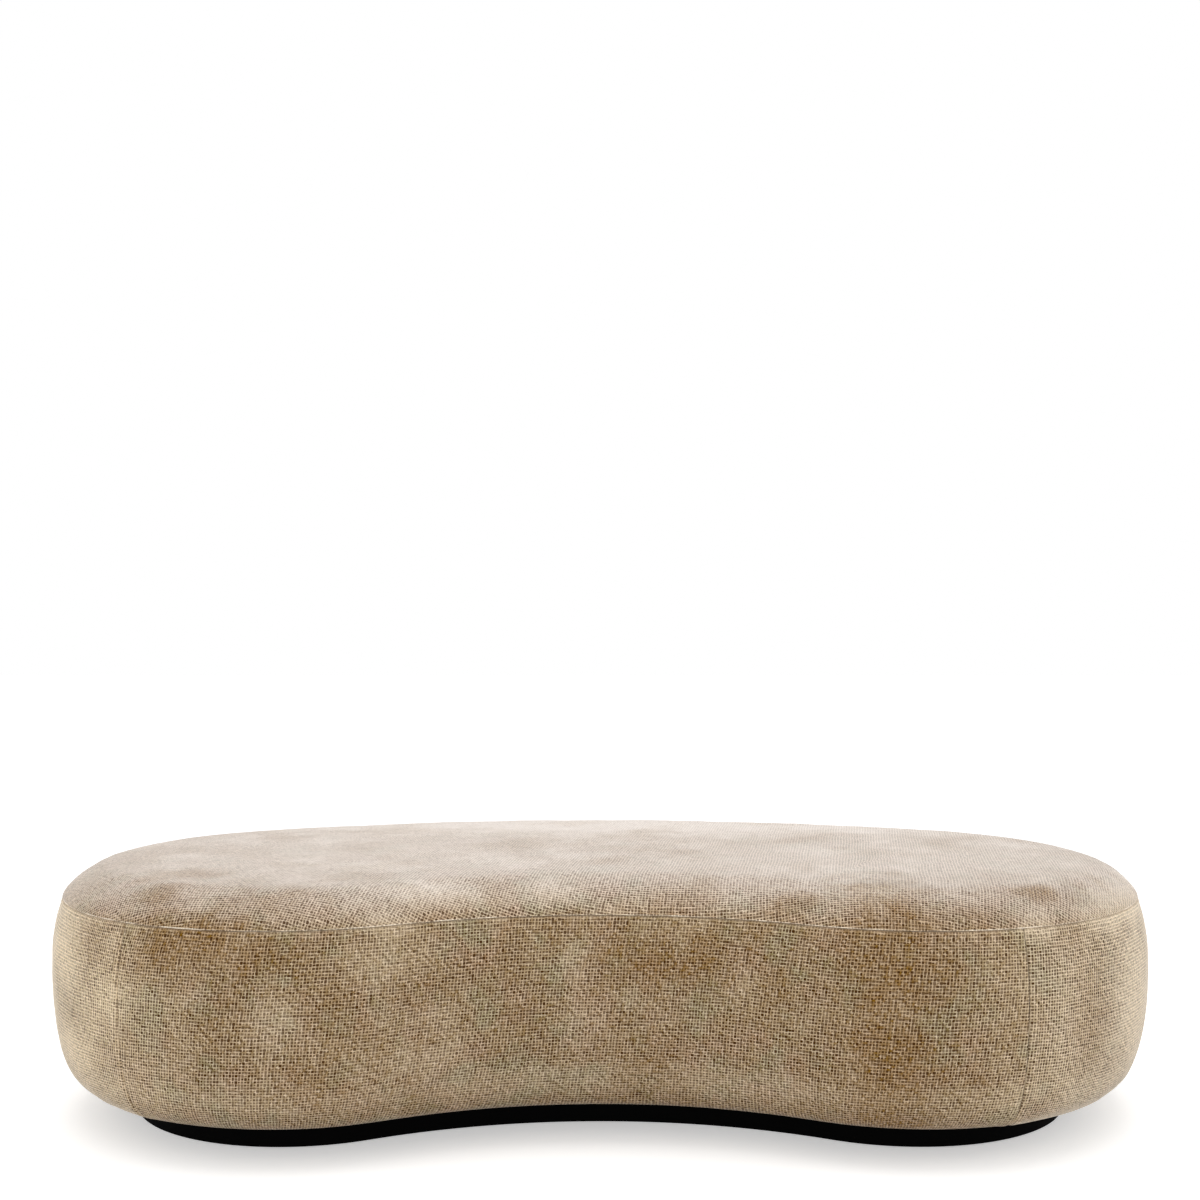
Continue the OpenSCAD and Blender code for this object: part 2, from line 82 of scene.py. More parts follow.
# Each arc: centre, radius, first and last angle; the front one curves the other way
arcs = {
    "rightFront": (endX, endY, endRadius, -90 - frontHalf, bench["rightSeam"]),
    "rightEnd": (endX, endY, endRadius, bench["rightSeam"], 90 - backHalf),
    "back": (0.0, backCentreY, backRadius, 90 - backHalf, 90 + backHalf),
    "leftEnd": (-endX, endY, endRadius, 90 + backHalf, bench["leftSeam"]),
    "leftFront": (-endX, endY, endRadius, bench["leftSeam"], 270 + frontHalf),
    "front": (0.0, frontCentreY, frontRadius, 90 + frontHalf, 90 - frontHalf),
}
wholeRing = list(arcs)


def arcLength(name):
    x, y, radius, first, last = arcs[name]
    return radius * abs(radians(last - first))


def runLength(run):
    return sum(arcLength(name) for name in run)


ringStart = {name: runLength(wholeRing[:k]) for k, name in enumerate(wholeRing)}


def clamped(value):
    return min(1.0, max(0.0, value))


def outlinePoint(name, inset, angle):  # a point of the plan, moved in by the inset
    centreX, centreY, radius, first, last = arcs[name]
    reach = radius + inset if name == "front" else radius - inset
    return centreX + reach * cos(radians(angle)), centreY + reach * sin(radians(angle))


def placeOf(x, y):  # the arc beside a point, how far round the outline it is, and how deep inside
    slack = 0.01   # degrees
    found = []
    for name, (centreX, centreY, radius, first, last) in arcs.items():
        angle = degrees(atan2(y - centreY, x - centreX))
        turned = (angle - first) % 360 if last > first else (first - angle) % 360
        if turned > 360 - slack:
            turned = 0.0
        if turned > abs(last - first) + slack:
            continue
        reach = hypot(x - centreX, y - centreY)
        depth = reach - radius if name == "front" else radius - reach
        found.append((abs(depth), name, ringStart[name] + radius * radians(turned), depth))
    return min(found)[1:]


def outwardAt(x, y):
    name = placeOf(x, y)[0]
    out = Vector((x - arcs[name][0], y - arcs[name][1], 0)).normalized()
    return -out if name == "front" else out


# A section is a list of insets from the outline and heights

def lowerPoint(angle):
    power = 2 / bench["bottomPower"]
    rise = bench["bellyHeight"] - bench["fabricHeight"]
    return (bench["bottomDraw"] * (1 - max(0.0, sin(radians(angle))) ** power),
            bench["bellyHeight"] - rise * max(0.0, cos(radians(angle))) ** power)


def upperPoint(height):
    share = (height - bench["bellyHeight"]) / (seamHeight - bench["bellyHeight"])
    return bench["seamDraw"] * share ** 2, height


def crownPoint(inset):
    reach = inset - bench["seamDraw"]
    edge = clamped(reach / bench["shoulderWidth"])
    inner = clamped(reach / bench["crownWidth"])
    shoulderRise = (1 - (1 - edge) ** bench["shoulderPower"]) ** bench["shoulderFullness"]
    crownRise = 1 - (1 - inner) ** 2
    return inset, (seamHeight + (bench["seamDrop"] - bench["crownRise"]) * shoulderRise
                   + bench["crownRise"] * crownRise)


def girthOf(points):
    walked = [0.0]
    for here, there in zip(points, points[1:]):
        walked.append(walked[-1] + hypot(there[0] - here[0], there[1] - here[1]))
    return walked


def evenly(points, spacing):  # the same line with even steps
    walked = girthOf(points)
    count = max(2, ceil(walked[-1] / spacing))
    spread = []
    k = 0
    for step in range(count + 1):
        goal = walked[-1] * step / count
        while k < len(points) - 2 and walked[k + 1] < goal:
            k += 1
        share = (goal - walked[k]) / max(1e-9, walked[k + 1] - walked[k])
        spread.append(tuple(a + (b - a) * share for a, b in zip(points[k], points[k + 1])))
    return spread


def sunk(points, depth):  # the same section, moved in square to itself; depth may follow the row
    moved = []
    for k, (inset, height) in enumerate(points):
        before, after = points[max(k - 1, 0)], points[min(k + 1, len(points) - 1)]
        along = Vector((after[0] - before[0], after[1] - before[1])).normalized()
        amount = depth(k) if callable(depth) else depth
        moved.append((inset + amount * along.y, height - amount * along.x))
    return moved


def nearestRow(section, depth, height):
    return min(range(len(section)), key=lambda k: hypot(section[k][0] - depth, section[k][1] - height))


# Ways to make a piece

smoothAngle = radians(40)   # flatter edges than this are shaded smooth


def objectMode():
    bpy.ops.object.mode_set(mode="OBJECT")


def editMode():
    bpy.ops.object.mode_set(mode="EDIT")


def clearSelection():
    if bpy.context.object and bpy.context.object.mode == "EDIT":
        objectMode()
    bpy.ops.object.select_all(action="DESELECT")


def makeActive(piece):
    clearSelection()
    piece.select_set(True)
    bpy.context.view_layer.objects.active = piece


def mergeClose(distance):
    bpy.ops.mesh.select_all(action="SELECT")
    bpy.ops.mesh.remove_doubles(threshold=distance)


def recalculateNormals():
    editMode()
    bpy.ops.mesh.select_all(action="SELECT")
    bpy.ops.mesh.normals_make_consistent(inside=False)
    objectMode()


def turnInsideOut():
    editMode()
    bpy.ops.mesh.flip_normals()
    objectMode()


def drawChain(name, spots):  # one point pulled out from spot to spot, left selected in edit mode
    clearSelection()
    bpy.ops.mesh.primitive_plane_add(size=0.01, enter_editmode=True)
    piece = bpy.context.object
    piece.name = piece.data.name = name
    bpy.ops.mesh.select_mode(type="VERT")
    bpy.ops.mesh.select_all(action="SELECT")
    bpy.ops.mesh.merge(type="CENTER")
    bpy.ops.transform.translate(value=spots[0])
    for here, there in zip(spots, spots[1:]):
        bpy.ops.mesh.extrude_vertices_move(TRANSFORM_OT_translate={"value": there - here})
    bpy.ops.mesh.select_all(action="SELECT")
    return piece


def drawSection(name, points, arcName, closed=False):  # a section that stands where the arc begins
    first = arcs[arcName][3]
    spots = [Vector((*outlinePoint(arcName, inset, first), height)) for inset, height in points]
    piece = drawChain(name, spots + spots[:1] if closed else spots)
    if closed:
        mergeClose(0.00001)   # only the first spot and the last
        bpy.ops.mesh.select_all(action="SELECT")
    return piece


def spinAlong(run, spacing, endSteps=()):  # the section follows the arcs, with fine steps at both ends
    for place, arcName in enumerate(run):
        centreX, centreY, radius, first, last = arcs[arcName]
        fineFirst = list(endSteps) if place == 0 else []
        fineLast = list(reversed(endSteps)) if place == len(run) - 1 else []
        middle = arcLength(arcName) - sum(fineFirst) - sum(fineLast)
        steps = [(reach, 1) for reach in fineFirst] + [(middle, ceil(middle / spacing))]
        steps += [(reach, 1) for reach in fineLast]
        for reach, count in steps:
            bpy.ops.mesh.spin(steps=count, angle=-radians(last - first) * reach / arcLength(arcName),
                              center=(centreX, centreY, 0), axis=(0, 0, 1))


def selectOuterEdges(piece, wanted):  # edges with one face whose middle passes the test
    objectMode()
    mesh = piece.data
    uses = {}
    for polygon in mesh.polygons:
        for key in polygon.edge_keys:
            uses[key] = uses.get(key, 0) + 1
    for part in [*mesh.polygons, *mesh.vertices]:
        part.select = False
    for edge in mesh.edges:
        ends = [mesh.vertices[corner] for corner in edge.vertices]
        outer = uses.get(tuple(sorted(edge.vertices)), 0) == 1
        edge.select = outer and wanted((ends[0].co + ends[1].co) / 2)
        if edge.select:
            ends[0].select = ends[1].select = True
    editMode()
    bpy.ops.mesh.select_mode(type="EDGE")


def faceOutwards(piece):  # an open shell is turned so that its belly faces out
    recalculateNormals()
    total = 0.0
    for polygon in piece.data.polygons:
        x, y, height = polygon.center
        upward = polygon.normal.z if height > seamHeight else 0.0
        total += polygon.area * (polygon.normal.dot(outwardAt(x, y)) + upward)
    if total < 0:
        turnInsideOut()


def applyModifier(piece, kind, **settings):
    makeActive(piece)
    bpy.ops.object.modifier_add(type=kind)
    modifier = piece.modifiers[-1]
    for key, value in settings.items():
        setattr(modifier, key, value)
    bpy.ops.object.modifier_apply(modifier=modifier.name)


def moveAlongNormals(piece, amount):  # amount tells how far each vertex goes
    normals = [vertex.normal.copy() for vertex in piece.data.vertices]
    for vertex, normal in zip(piece.data.vertices, normals):
        vertex.co += normal * amount(vertex)


def ripple(point, size, seed):
    return noise.noise(Vector((point.x / size + seed, point.y / size, point.z / size - seed)))


def waves(point, look):  # long waves with a share of short ones
    long, short = [ripple(point, size, seed) for size, seed in look["waveSizes"]]
    return look["waves"] * (long + look["shortWaves"] * short)


clothPressure = {
    "quality": 6,
    "mass": 0.3,
    "tension_stiffness": 12.0,
    "compression_stiffness": 12.0,
    "shear_stiffness": 4.0,
    "bending_stiffness": 1.2,
    "shrink_min": -0.012,
    "use_pressure": True,
    "uniform_pressure_force": 8.0,
    "vertex_group_mass": "sewn",
}
clothLimits = {"frames": 20, "rise": 0.0026, "sink": 0.0003}


def inflate(piece, loose):  # cloth under pressure; loose tells how free each point is, from 0 to 1
    limits = clothLimits
    makeActive(piece)
    before = [vertex.co.copy() for vertex in piece.data.vertices]
    outward = [vertex.normal.copy() for vertex in piece.data.vertices]
    sewn = piece.vertex_groups.new(name="sewn")
    for vertex in piece.data.vertices:
        sewn.add([vertex.index], 1.0 if loose[vertex.index] <= 0.0 else 0.0, "REPLACE")
    bpy.ops.object.modifier_add(type="CLOTH")
    modifier = piece.modifiers[-1]
    for key, value in clothPressure.items():
        setattr(modifier.settings, key, value)
    modifier.settings.effector_weights.gravity = 0
    modifier.collision_settings.use_collision = False
    modifier.point_cache.frame_end = limits["frames"]
    for number in range(1, limits["frames"] + 1):
        bpy.context.scene.frame_set(number)
    bpy.ops.object.modifier_apply(modifier=modifier.name)
    bpy.context.scene.frame_set(1)
    most = 0.0
    for vertex in piece.data.vertices:   # the foam below lets the cloth rise more than it lets it sink
        free, out = loose[vertex.index], outward[vertex.index]
        move = vertex.co - before[vertex.index]
        most = max(most, move.length)
        rise = move.dot(out)
        sideways = move - out * rise
        slide = limits["rise"] * free / 2
        if sideways.length > slide:
            sideways *= slide / sideways.length
        rise = min(limits["rise"] * free, max(-limits["sink"] * free, rise))
        vertex.co = before[vertex.index] + sideways + out * rise
    piece.vertex_groups.clear()
    print("  cloth:", piece.name, "moved", round(most * 1000, 1), "mm, held to", limits["rise"] * 1000)


def finishPiece(piece, slot, material, *stands):
    piece.data.materials.clear()
    piece.data.materials.append(material)
    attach(piece, "root")
    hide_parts(*stands)
    return piece


# Materials

class wire:  # an output in a shader tree, so that sums can be written as sums
    def __init__(self, socket):
        self.socket = socket

    def __getitem__(self, label):  # another output of the same node
        return wire(self.socket.node.outputs[label])

    def __add__(self, other):
        return work("ADD", self, other)

    def __sub__(self, other):
        return work("SUBTRACT", self, other)

    def __rsub__(self, other):
        return work("SUBTRACT", other, self)

    def __mul__(self, other):
        return work("MULTIPLY", self, other)

    def __truediv__(self, other):
        return work("DIVIDE", self, other)


def connect(socket, value):  # a wire is linked; a number or a colour is set
    if isinstance(value, wire):
        socket.id_data.links.new(value.socket, socket)
    else:
        socket.default_value = value


def addNode(kind, links, tree=None, **settings):  # a node beside those that feed it, as its first output
    if tree is None:
        tree = next(value.socket.id_data for value in links.values() if isinstance(value, wire))
    node = tree.nodes.new("ShaderNode" + kind)
    for key, value in settings.items():
        setattr(node, key, value)
    for key, value in links.items():
        connect(node.inputs[key], value)
    return wire(node.outputs[0])


def work(operation, *values, clamp=False):
    return addNode("Math", dict(enumerate(values)), operation=operation, use_clamp=clamp)


def vectorWork(operation, vector, other):
    second = "Scale" if operation == "SCALE" else 1
    return addNode("VectorMath", {0: vector, second: other}, operation=operation)


def parts(vector):
    split = addNode("SeparateXYZ", {0: vector})
    return [split[k] for k in range(3)]


def joined(*values):
    return addNode("CombineXYZ", dict(enumerate(values)))


def noiseAt(place, scale, detail, flat=False, **more):
    links = {"Vector": place, "Scale": scale, "Detail": detail, **more}
    return addNode("TexNoise", links, noise_dimensions="2D" if flat else "3D")


def chanceAt(column, row):
    return addNode("TexWhiteNoise", {"Vector": joined(column, row)}, noise_dimensions="2D")


def blendColours(factor, a, b):
    return addNode("Mix", {0: factor, 6: a, 7: b}, data_type="RGBA")[2]


# From low to high, the value goes from first to last
def levels(value, first, last, low=0.0, high=1.0, kind="LINEAR", clamp=True):
    links = {"Value": value, "From Min": low, "From Max": high, "To Min": first, "To Max": last}
    return addNode("MapRange", links, interpolation_type=kind, clamp=clamp)


def ramp(value, low, high):  # a soft step from 0 to 1
    return levels(value, 0.0, 1.0, low, high, "SMOOTHSTEP")


def shade(*colour):  # a colour as a screen shows it
    return tuple(((c / 255 + 0.055) / 1.055) ** 2.4 if c > 10 else c / 3294 for c in colour) + (1.0,)


def darkened(colour, share):
    return tuple(c * share for c in colour[:3]) + (1.0,)


def newGroup(name, inputs, outputs):  # an input without a value is a vector
    tree = bpy.data.node_groups.new(name, "ShaderNodeTree")
    for label, value in inputs.items():
        kind = "NodeSocketVector" if value is None else "NodeSocketFloat"
        socket = tree.interface.new_socket(name=label, in_out="INPUT", socket_type=kind)
        if value is not None:
            socket.default_value = value
    for label in outputs:
        tree.interface.new_socket(name=label, in_out="OUTPUT", socket_type="NodeSocketFloat")
    return tree, wire(tree.nodes.new("NodeGroupInput").outputs[0]), tree.nodes.new("NodeGroupOutput").inputs


def startMaterial(name):  # with its shader, and its places on the object and on the cloth
    material = bpy.data.materials.new(name)
    material.use_nodes = True
    places = wire(material.node_tree.nodes.new("ShaderNodeTexCoord").outputs[0])
    return material, material.node_tree.nodes["Principled BSDF"].inputs, places["Object"], places["UV"]


def finishMaterial(shader, colour, roughness, height, strength, depth, **constants):
    bump = addNode("Bump", {"Height": height, "Strength": strength, "Distance": depth})
    for label, value in {"Base Color": colour, "Roughness": roughness, "Normal": bump, **constants}.items():
        connect(shader[label], value)


weaveShape = {   # lengths and tones as shares of one mesh, unless a line tells otherwise
    "wanderSpread": 11.0,   # waves per metre
    "wander": 0.006,        # metres
    "stretch": 0.36,
    "everyOther": 0.06,
    "holeEdge": (-0.06, 0.05),
    "shallow": 0.35,
    "turnLift": 0.3,
    "crossing": 0.05,
    "streak": 0.3,
    "otherStreak": 71.0,    # where the warp's streaks begin, away from those of the weft
    "ownTone": 0.5,
    "fibres": 900.0,        # per metre
    "roundness": 1.4,
    "bulge": 0.18,
    "fuzz": 0.25,
    "holeDepth": 0.85,
}


def weaveGroup():  # loose square weave: holes between the threads, each thread with its own tone
    shape = weaveShape
    inputs = {"Vector": None, "Pitch": 0.0047, "Lean": 0.0, "Hole": 0.32, "Unevenness": 0.44}
    tree, given, put = newGroup("looseWeave", inputs, ["Holes", "Threads", "Fibres", "Height"])
    x, y, z = parts(given["Vector"])
    drift = parts(noiseAt(given["Vector"], shape["wanderSpread"], 2.0)["Color"])
    column = (x + y * given["Lean"] + drift[0] * shape["wander"]) / given["Pitch"]
    row = (y + drift[1] * shape["wander"]) / given["Pitch"]
    besideColumn = work("ABSOLUTE", work("FRACT", column) - 0.5)
    besideRow = work("ABSOLUTE", work("FRACT", row) - 0.5)
    columnNumber, rowNumber = work("FLOOR", column), work("FLOOR", row)
    chances = parts(chanceAt(columnNumber, rowNumber)["Color"])
    stretch = (chances[1] - 0.5) * shape["stretch"]
    wide, tall = besideColumn * (stretch + 1.0), besideRow * (1.0 - stretch)
    oval = work("SQRT", wide * wide + tall * tall)
    away = (work("MAXIMUM", wide, tall) + oval) * 0.5
    everyOther = work("PINGPONG", columnNumber + rowNumber, 1.0)
    size = given["Hole"] * ((chances[0] - 0.5) * given["Unevenness"] + 1.0)
    size = size + (everyOther - 0.5) * shape["everyOther"]
    holes = ramp(size - away, *shape["holeEdge"])
    connect(put["Holes"], holes * (1.0 - chances[2] * shape["shallow"]))

    # Threads: the one on top is the nearer one, and at a crossing they take turns
    warpNumber, weftNumber = work("ROUND", column), work("ROUND", row)
    turn = work("PINGPONG", warpNumber + weftNumber, 1.0)
    nearer = besideRow - besideColumn + (turn - 0.5) * shape["turnLift"]
    weftPlace = joined(column * shape["streak"], weftNumber)
    warpPlace = joined(warpNumber, row * shape["streak"] + shape["otherStreak"])
    weftStreak, warpStreak = [noiseAt(place, 1.0, 1.0, flat=True) for place in (weftPlace, warpPlace)]
    weftOnTop = ramp(nearer, -shape["crossing"], shape["crossing"])
    threads = addNode("Mix", {0: weftOnTop, 2: warpStreak, 3: weftStreak}, data_type="FLOAT")
    ownTone = (chanceAt(warpNumber, weftNumber) - 0.5) * shape["ownTone"]
    connect(put["Threads"], threads + ownTone)
    fibres = noiseAt(given["Vector"], shape["fibres"], 2.0)
    connect(put["Fibres"], fibres)
    rise = work("MULTIPLY", oval, shape["roundness"], clamp=True) + (turn - 0.5) * shape["bulge"]
    connect(put["Height"], (rise + fibres * shape["fuzz"]) * (1.0 - holes * shape["holeDepth"]))
    return tree


patchKinds = {   # shift, share of the scale, where a patch begins and is full, detail
    "Brown": (0.0, 0.9, 0.44, 0.72, 4.0),
    "Pale": (3.7, 1.1, 0.46, 0.74, 4.0),
    "Green": (8.1, 2.0, 0.47, 0.66, 3.0),
    "Rose": (12.9, 1.6, 0.46, 0.66, 3.0),
}


def cloudGroup():  # soft patches where the pile lies another way
    tree, given, put = newGroup("pileClouds", {"Vector": None, "Scale": 9.0}, patchKinds)
    for label, (shift, share, begins, full, detail) in patchKinds.items():
        moved = vectorWork("ADD", given["Vector"], (shift, shift * 0.6, -shift))
        blot = noiseAt(moved, given["Scale"] * share, detail, Roughness=0.55, Distortion=0.1)
        connect(put[label], ramp(blot, begins, full))
    return tree


weave = weaveGroup()
clouds = cloudGroup()

yarns = {
    "plain": shade(176, 153, 121),
    # painted sheen: the right end is given a paler yarn than the front band
    "end": shade(190, 168, 135),
    # painted sheen: the paler yarns towards the tips
    "tip": shade(235, 214, 180),
    "rightTip": shade(230, 211, 183),
    # painted sheen: the seat's yarn is paler and greyer than the bands'
    "shoulder": shade(186, 163, 134),
    "brown": shade(156, 126, 88),
    "pale": shade(206, 187, 158),
    "green": shade(170, 160, 129),
    "rose": shade(188, 158, 132),
    # painted shade: the gaps between the threads are painted this dark brown
    "hole": shade(63, 36, 3),
    # painted sheen: the seat is painted towards this pale colour on its crown
    "top": shade(225, 215, 206),
    # painted highlight along the seat's fold, also used as painted light just under it
    "foldEdge": shade(242, 226, 203),
}
fabricLook = {
    "pitch": 0.0048,
    "green": 0.75,
    "rose": 0.5,
    "paleOnBrown": 0.5,
    "paleHoles": 0.35,
    "threadTone": (1.0, 0.86, 0.7),   # a lighter thread is also a little greyer
    "threadRange": (-0.12, 0.14, 0.2, 0.8),   # darkest and lightest tone, and the noise that gives them
    "fluffRange": (0.86, 1.14, 0.25, 0.75),
    "roughness": (0.82, 0.98),
    "sheenTint": (1.0, 0.94, 0.9, 1.0),
    "endSheenTint": (1.0, 0.91, 0.79, 1.0),
    "bump": 0.0011,
    "bumpStrength": 0.55,
    "shine": 0.12,
    "sheenRoughness": 0.3,
}
bandLook = {   # ranges are in metres: where something begins and where it is full
    "brown": 0.5,
    "pale": 0.45,
    # where the painted sheen at the tips begins and is full, and how strongly it shows
    "leftTip": (-0.58, -0.86),
    "rightTip": (0.5, 0.9),
    "tipShare": 0.8,
    "tipPale": 0.7,
    "tipBrown": 0.6,
    "pressed": (0.3488, 0.3516),   # heights under the top seam that get painted light, where the weave's gaps are painted closed
    "pressedTone": 0.08,
    "pressedHoles": 0.5,
    # the painted sheen at the tips also closes the weave's gaps
    "tipHoles": 0.05,
    # painted shade along the side seams: its width, and how dark it is
    "seamLine": (0.0021, 0.0004),
    "seamChange": (-0.3, 0.3),   # the painted seam shade is stronger on the right seam than on the left one
    "seamDark": 0.04,
    "seamDarker": 0.2,
}
topLook = {
    "brown": 0.38,
    "pale": 0.35,
    # the seat's painted sheen: the heights over which it sets in, and how strongly
    "bare": (0.352, 0.405),
    "wear": 0.65,
    "wearPale": 0.5,
    "wearBrown": 0.65,
    # where the painted highlight along the seat's fold lies, and how it is broken up
    "foldFoot": (0.3524, 0.3529),
    "foldHead": (0.3549, 0.3541),
    "foldSpots": 14.0,
    "foldBroken": (0.42, 0.58),
    "foldLeast": 0.25,
    "wornHoles": 0.6,
    "closing": 0.61,
}

# Soft spots, listed one by one: where, how wide each way, and how strongly; the paler ones are partly paler
# patches of the pile and partly painted light and sheen, such as the paler back of the seat and the paler
# right tip
darkerSpots = [
    ((0.42, -0.4, 0.2), (0.1, 0.2, 0.4), 0.85), ((-0.57, -0.42, 0.33), (0.17, 0.2, 0.06), 0.95),
    ((-0.05, -0.36, 0.33), (0.07, 0.2, 0.04), 0.6), ((-0.5, -0.38, 0.375), (0.15, 0.08, 0.035), 0.6),
    ((0.5, -0.42, 0.365), (0.14, 0.07, 0.035), 0.5), ((0.14, -0.3, 0.355), (0.2, 0.06, 0.03), 0.5),
    ((0.1, -0.35, 0.3), (0.14, 0.2, 0.08), 0.7), ((0.47, -0.4, 0.305), (0.12, 0.2, 0.05), 0.5),
    ((0.725, -0.38, 0.2), (0.045, 0.2, 0.1), 0.55), ((-0.76, -0.3, 0.32), (0.12, 0.2, 0.045), 0.5),
    ((-0.76, -0.09, 0.385), (0.12, 0.2, 0.03), 0.45), ((-0.65, -0.265, 0.403), (0.1, 0.06, 0.03), 0.7),
    ((-0.66, -0.36, 0.39), (0.06, 0.05, 0.03), 0.7), ((0.29, -0.375, 0.372), (0.07, 0.04, 0.03), 0.6),
    ((0.655, -0.365, 0.393), (0.06, 0.045, 0.02), 0.75), ((0.06, -0.35, 0.19), (0.05, 0.1, 0.04), 0.4),
    ((-0.54, -0.46, 0.237), (0.06, 0.1, 0.035), 0.4),
]
palePatchesAndPaintedLight = [
    ((-0.31, -0.38, 0.3), (0.09, 0.2, 0.06), 0.55), ((-0.47, -0.45, 0.23), (0.06, 0.2, 0.06), 0.42),
    ((-0.24, -0.35, 0.388), (0.12, 0.06, 0.035), 0.6), ((-0.36, -0.2, 0.4), (0.1, 0.06, 0.05), 0.4),
    ((-0.08, -0.3, 0.38), (0.06, 0.06, 0.03), 0.5), ((-0.31, -0.41, 0.352), (0.07, 0.06, 0.03), 0.6),
    ((0.69, -0.41, 0.2), (0.05, 0.2, 0.3), 0.22), ((0.8, -0.25, 0.36), (0.14, 0.3, 0.04), 0.9),
    ((0.82, -0.28, 0.21), (0.06, 0.2, 0.15), 0.6), ((-0.82, -0.29, 0.3), (0.06, 0.12, 0.09), 0.6),
    ((-0.8, -0.31, 0.14), (0.08, 0.12, 0.05), 0.6), ((-0.72, -0.4, 0.24), (0.05, 0.08, 0.05), 0.55),
    ((0.05, 0.3, 0.41), (1.0, 0.2, 0.1), 0.7), ((-0.27, -0.41, 0.155), (0.12, 0.12, 0.045), 0.5),
    ((0.64, -0.42, 0.355), (0.05, 0.04, 0.03), 0.7), ((0.41, -0.385, 0.394), (0.07, 0.04, 0.02), 0.4),
    ((0.0, -0.4, 0.105), (1.3, 0.6, 0.035), 0.4),
]
spotEdge = {"spots": 24.0, "ragged": 1.1, "range": (1.75, 0.75)}


def softSpots(here, places):  # soft spots with a ragged edge
    ragged = noiseAt(here, spotEdge["spots"], 3.0) * spotEdge["ragged"]
    mask = None
    for (x, y, z), (wide, deep, tall), strength in places:
        local = addNode("Mapping", {"Vector": here, "Location": (-x / wide, -y / deep, -z / tall),
                                    "Scale": (1 / wide, 1 / deep, 1 / tall)})
        reach = addNode("VectorMath", {0: local}, operation="LENGTH")["Value"] + ragged
        spot = ramp(reach, *spotEdge["range"]) * strength
        mask = spot if mask is None else work("MAXIMUM", mask, spot)
    return mask


def bandFinish(here, flat, run, paintedTipSheen, colour, holes):  # painted light under the top seam, painted shade along the side seams
    look = bandLook
    across, deep, height = parts(here)
    pressed = ramp(height, *look["pressed"])
    colour = blendColours(pressed * look["pressedTone"], colour, yarns["foldEdge"])
    closed = work("MAXIMUM", paintedTipSheen * look["tipHoles"], pressed * look["pressedHoles"])
    along, first = parts(flat)[0], ringStart[run[0]]
    near = work("MINIMUM", along - first, first + runLength(run) - along)
    seamShadeStrength = ramp(across, *look["seamChange"]) * look["seamDarker"] + look["seamDark"]
    return colour, work("MAXIMUM", holes * (1.0 - closed), ramp(near, *look["seamLine"]) * seamShadeStrength)


def topFinish(here, brown, pale, colour, holes):  # painted sheen: paler towards the crown; painted highlight along the fold
    look = topLook
    height = parts(here)[2]
    mottled = pale * look["wearPale"] + look["wear"] - brown * look["wearBrown"]
    paintedTopSheen = work("MULTIPLY", levels(height, 0.0, 1.0, *look["bare"]), mottled, clamp=True)
    broken = ramp(noiseAt(here, look["foldSpots"], 2.0), *look["foldBroken"])
    foldHighlight = ramp(height, *look["foldFoot"]) * ramp(height, *look["foldHead"])
    foldHighlight = foldHighlight * (broken * (1 - look["foldLeast"]) + look["foldLeast"])
    colour = blendColours(foldHighlight, blendColours(paintedTopSheen, colour, yarns["top"]), yarns["foldEdge"])
    paintedTopSheen = work("MAXIMUM", paintedTopSheen * look["wornHoles"], foldHighlight)
    return colour, holes * (1.0 - paintedTopSheen * look["closing"])


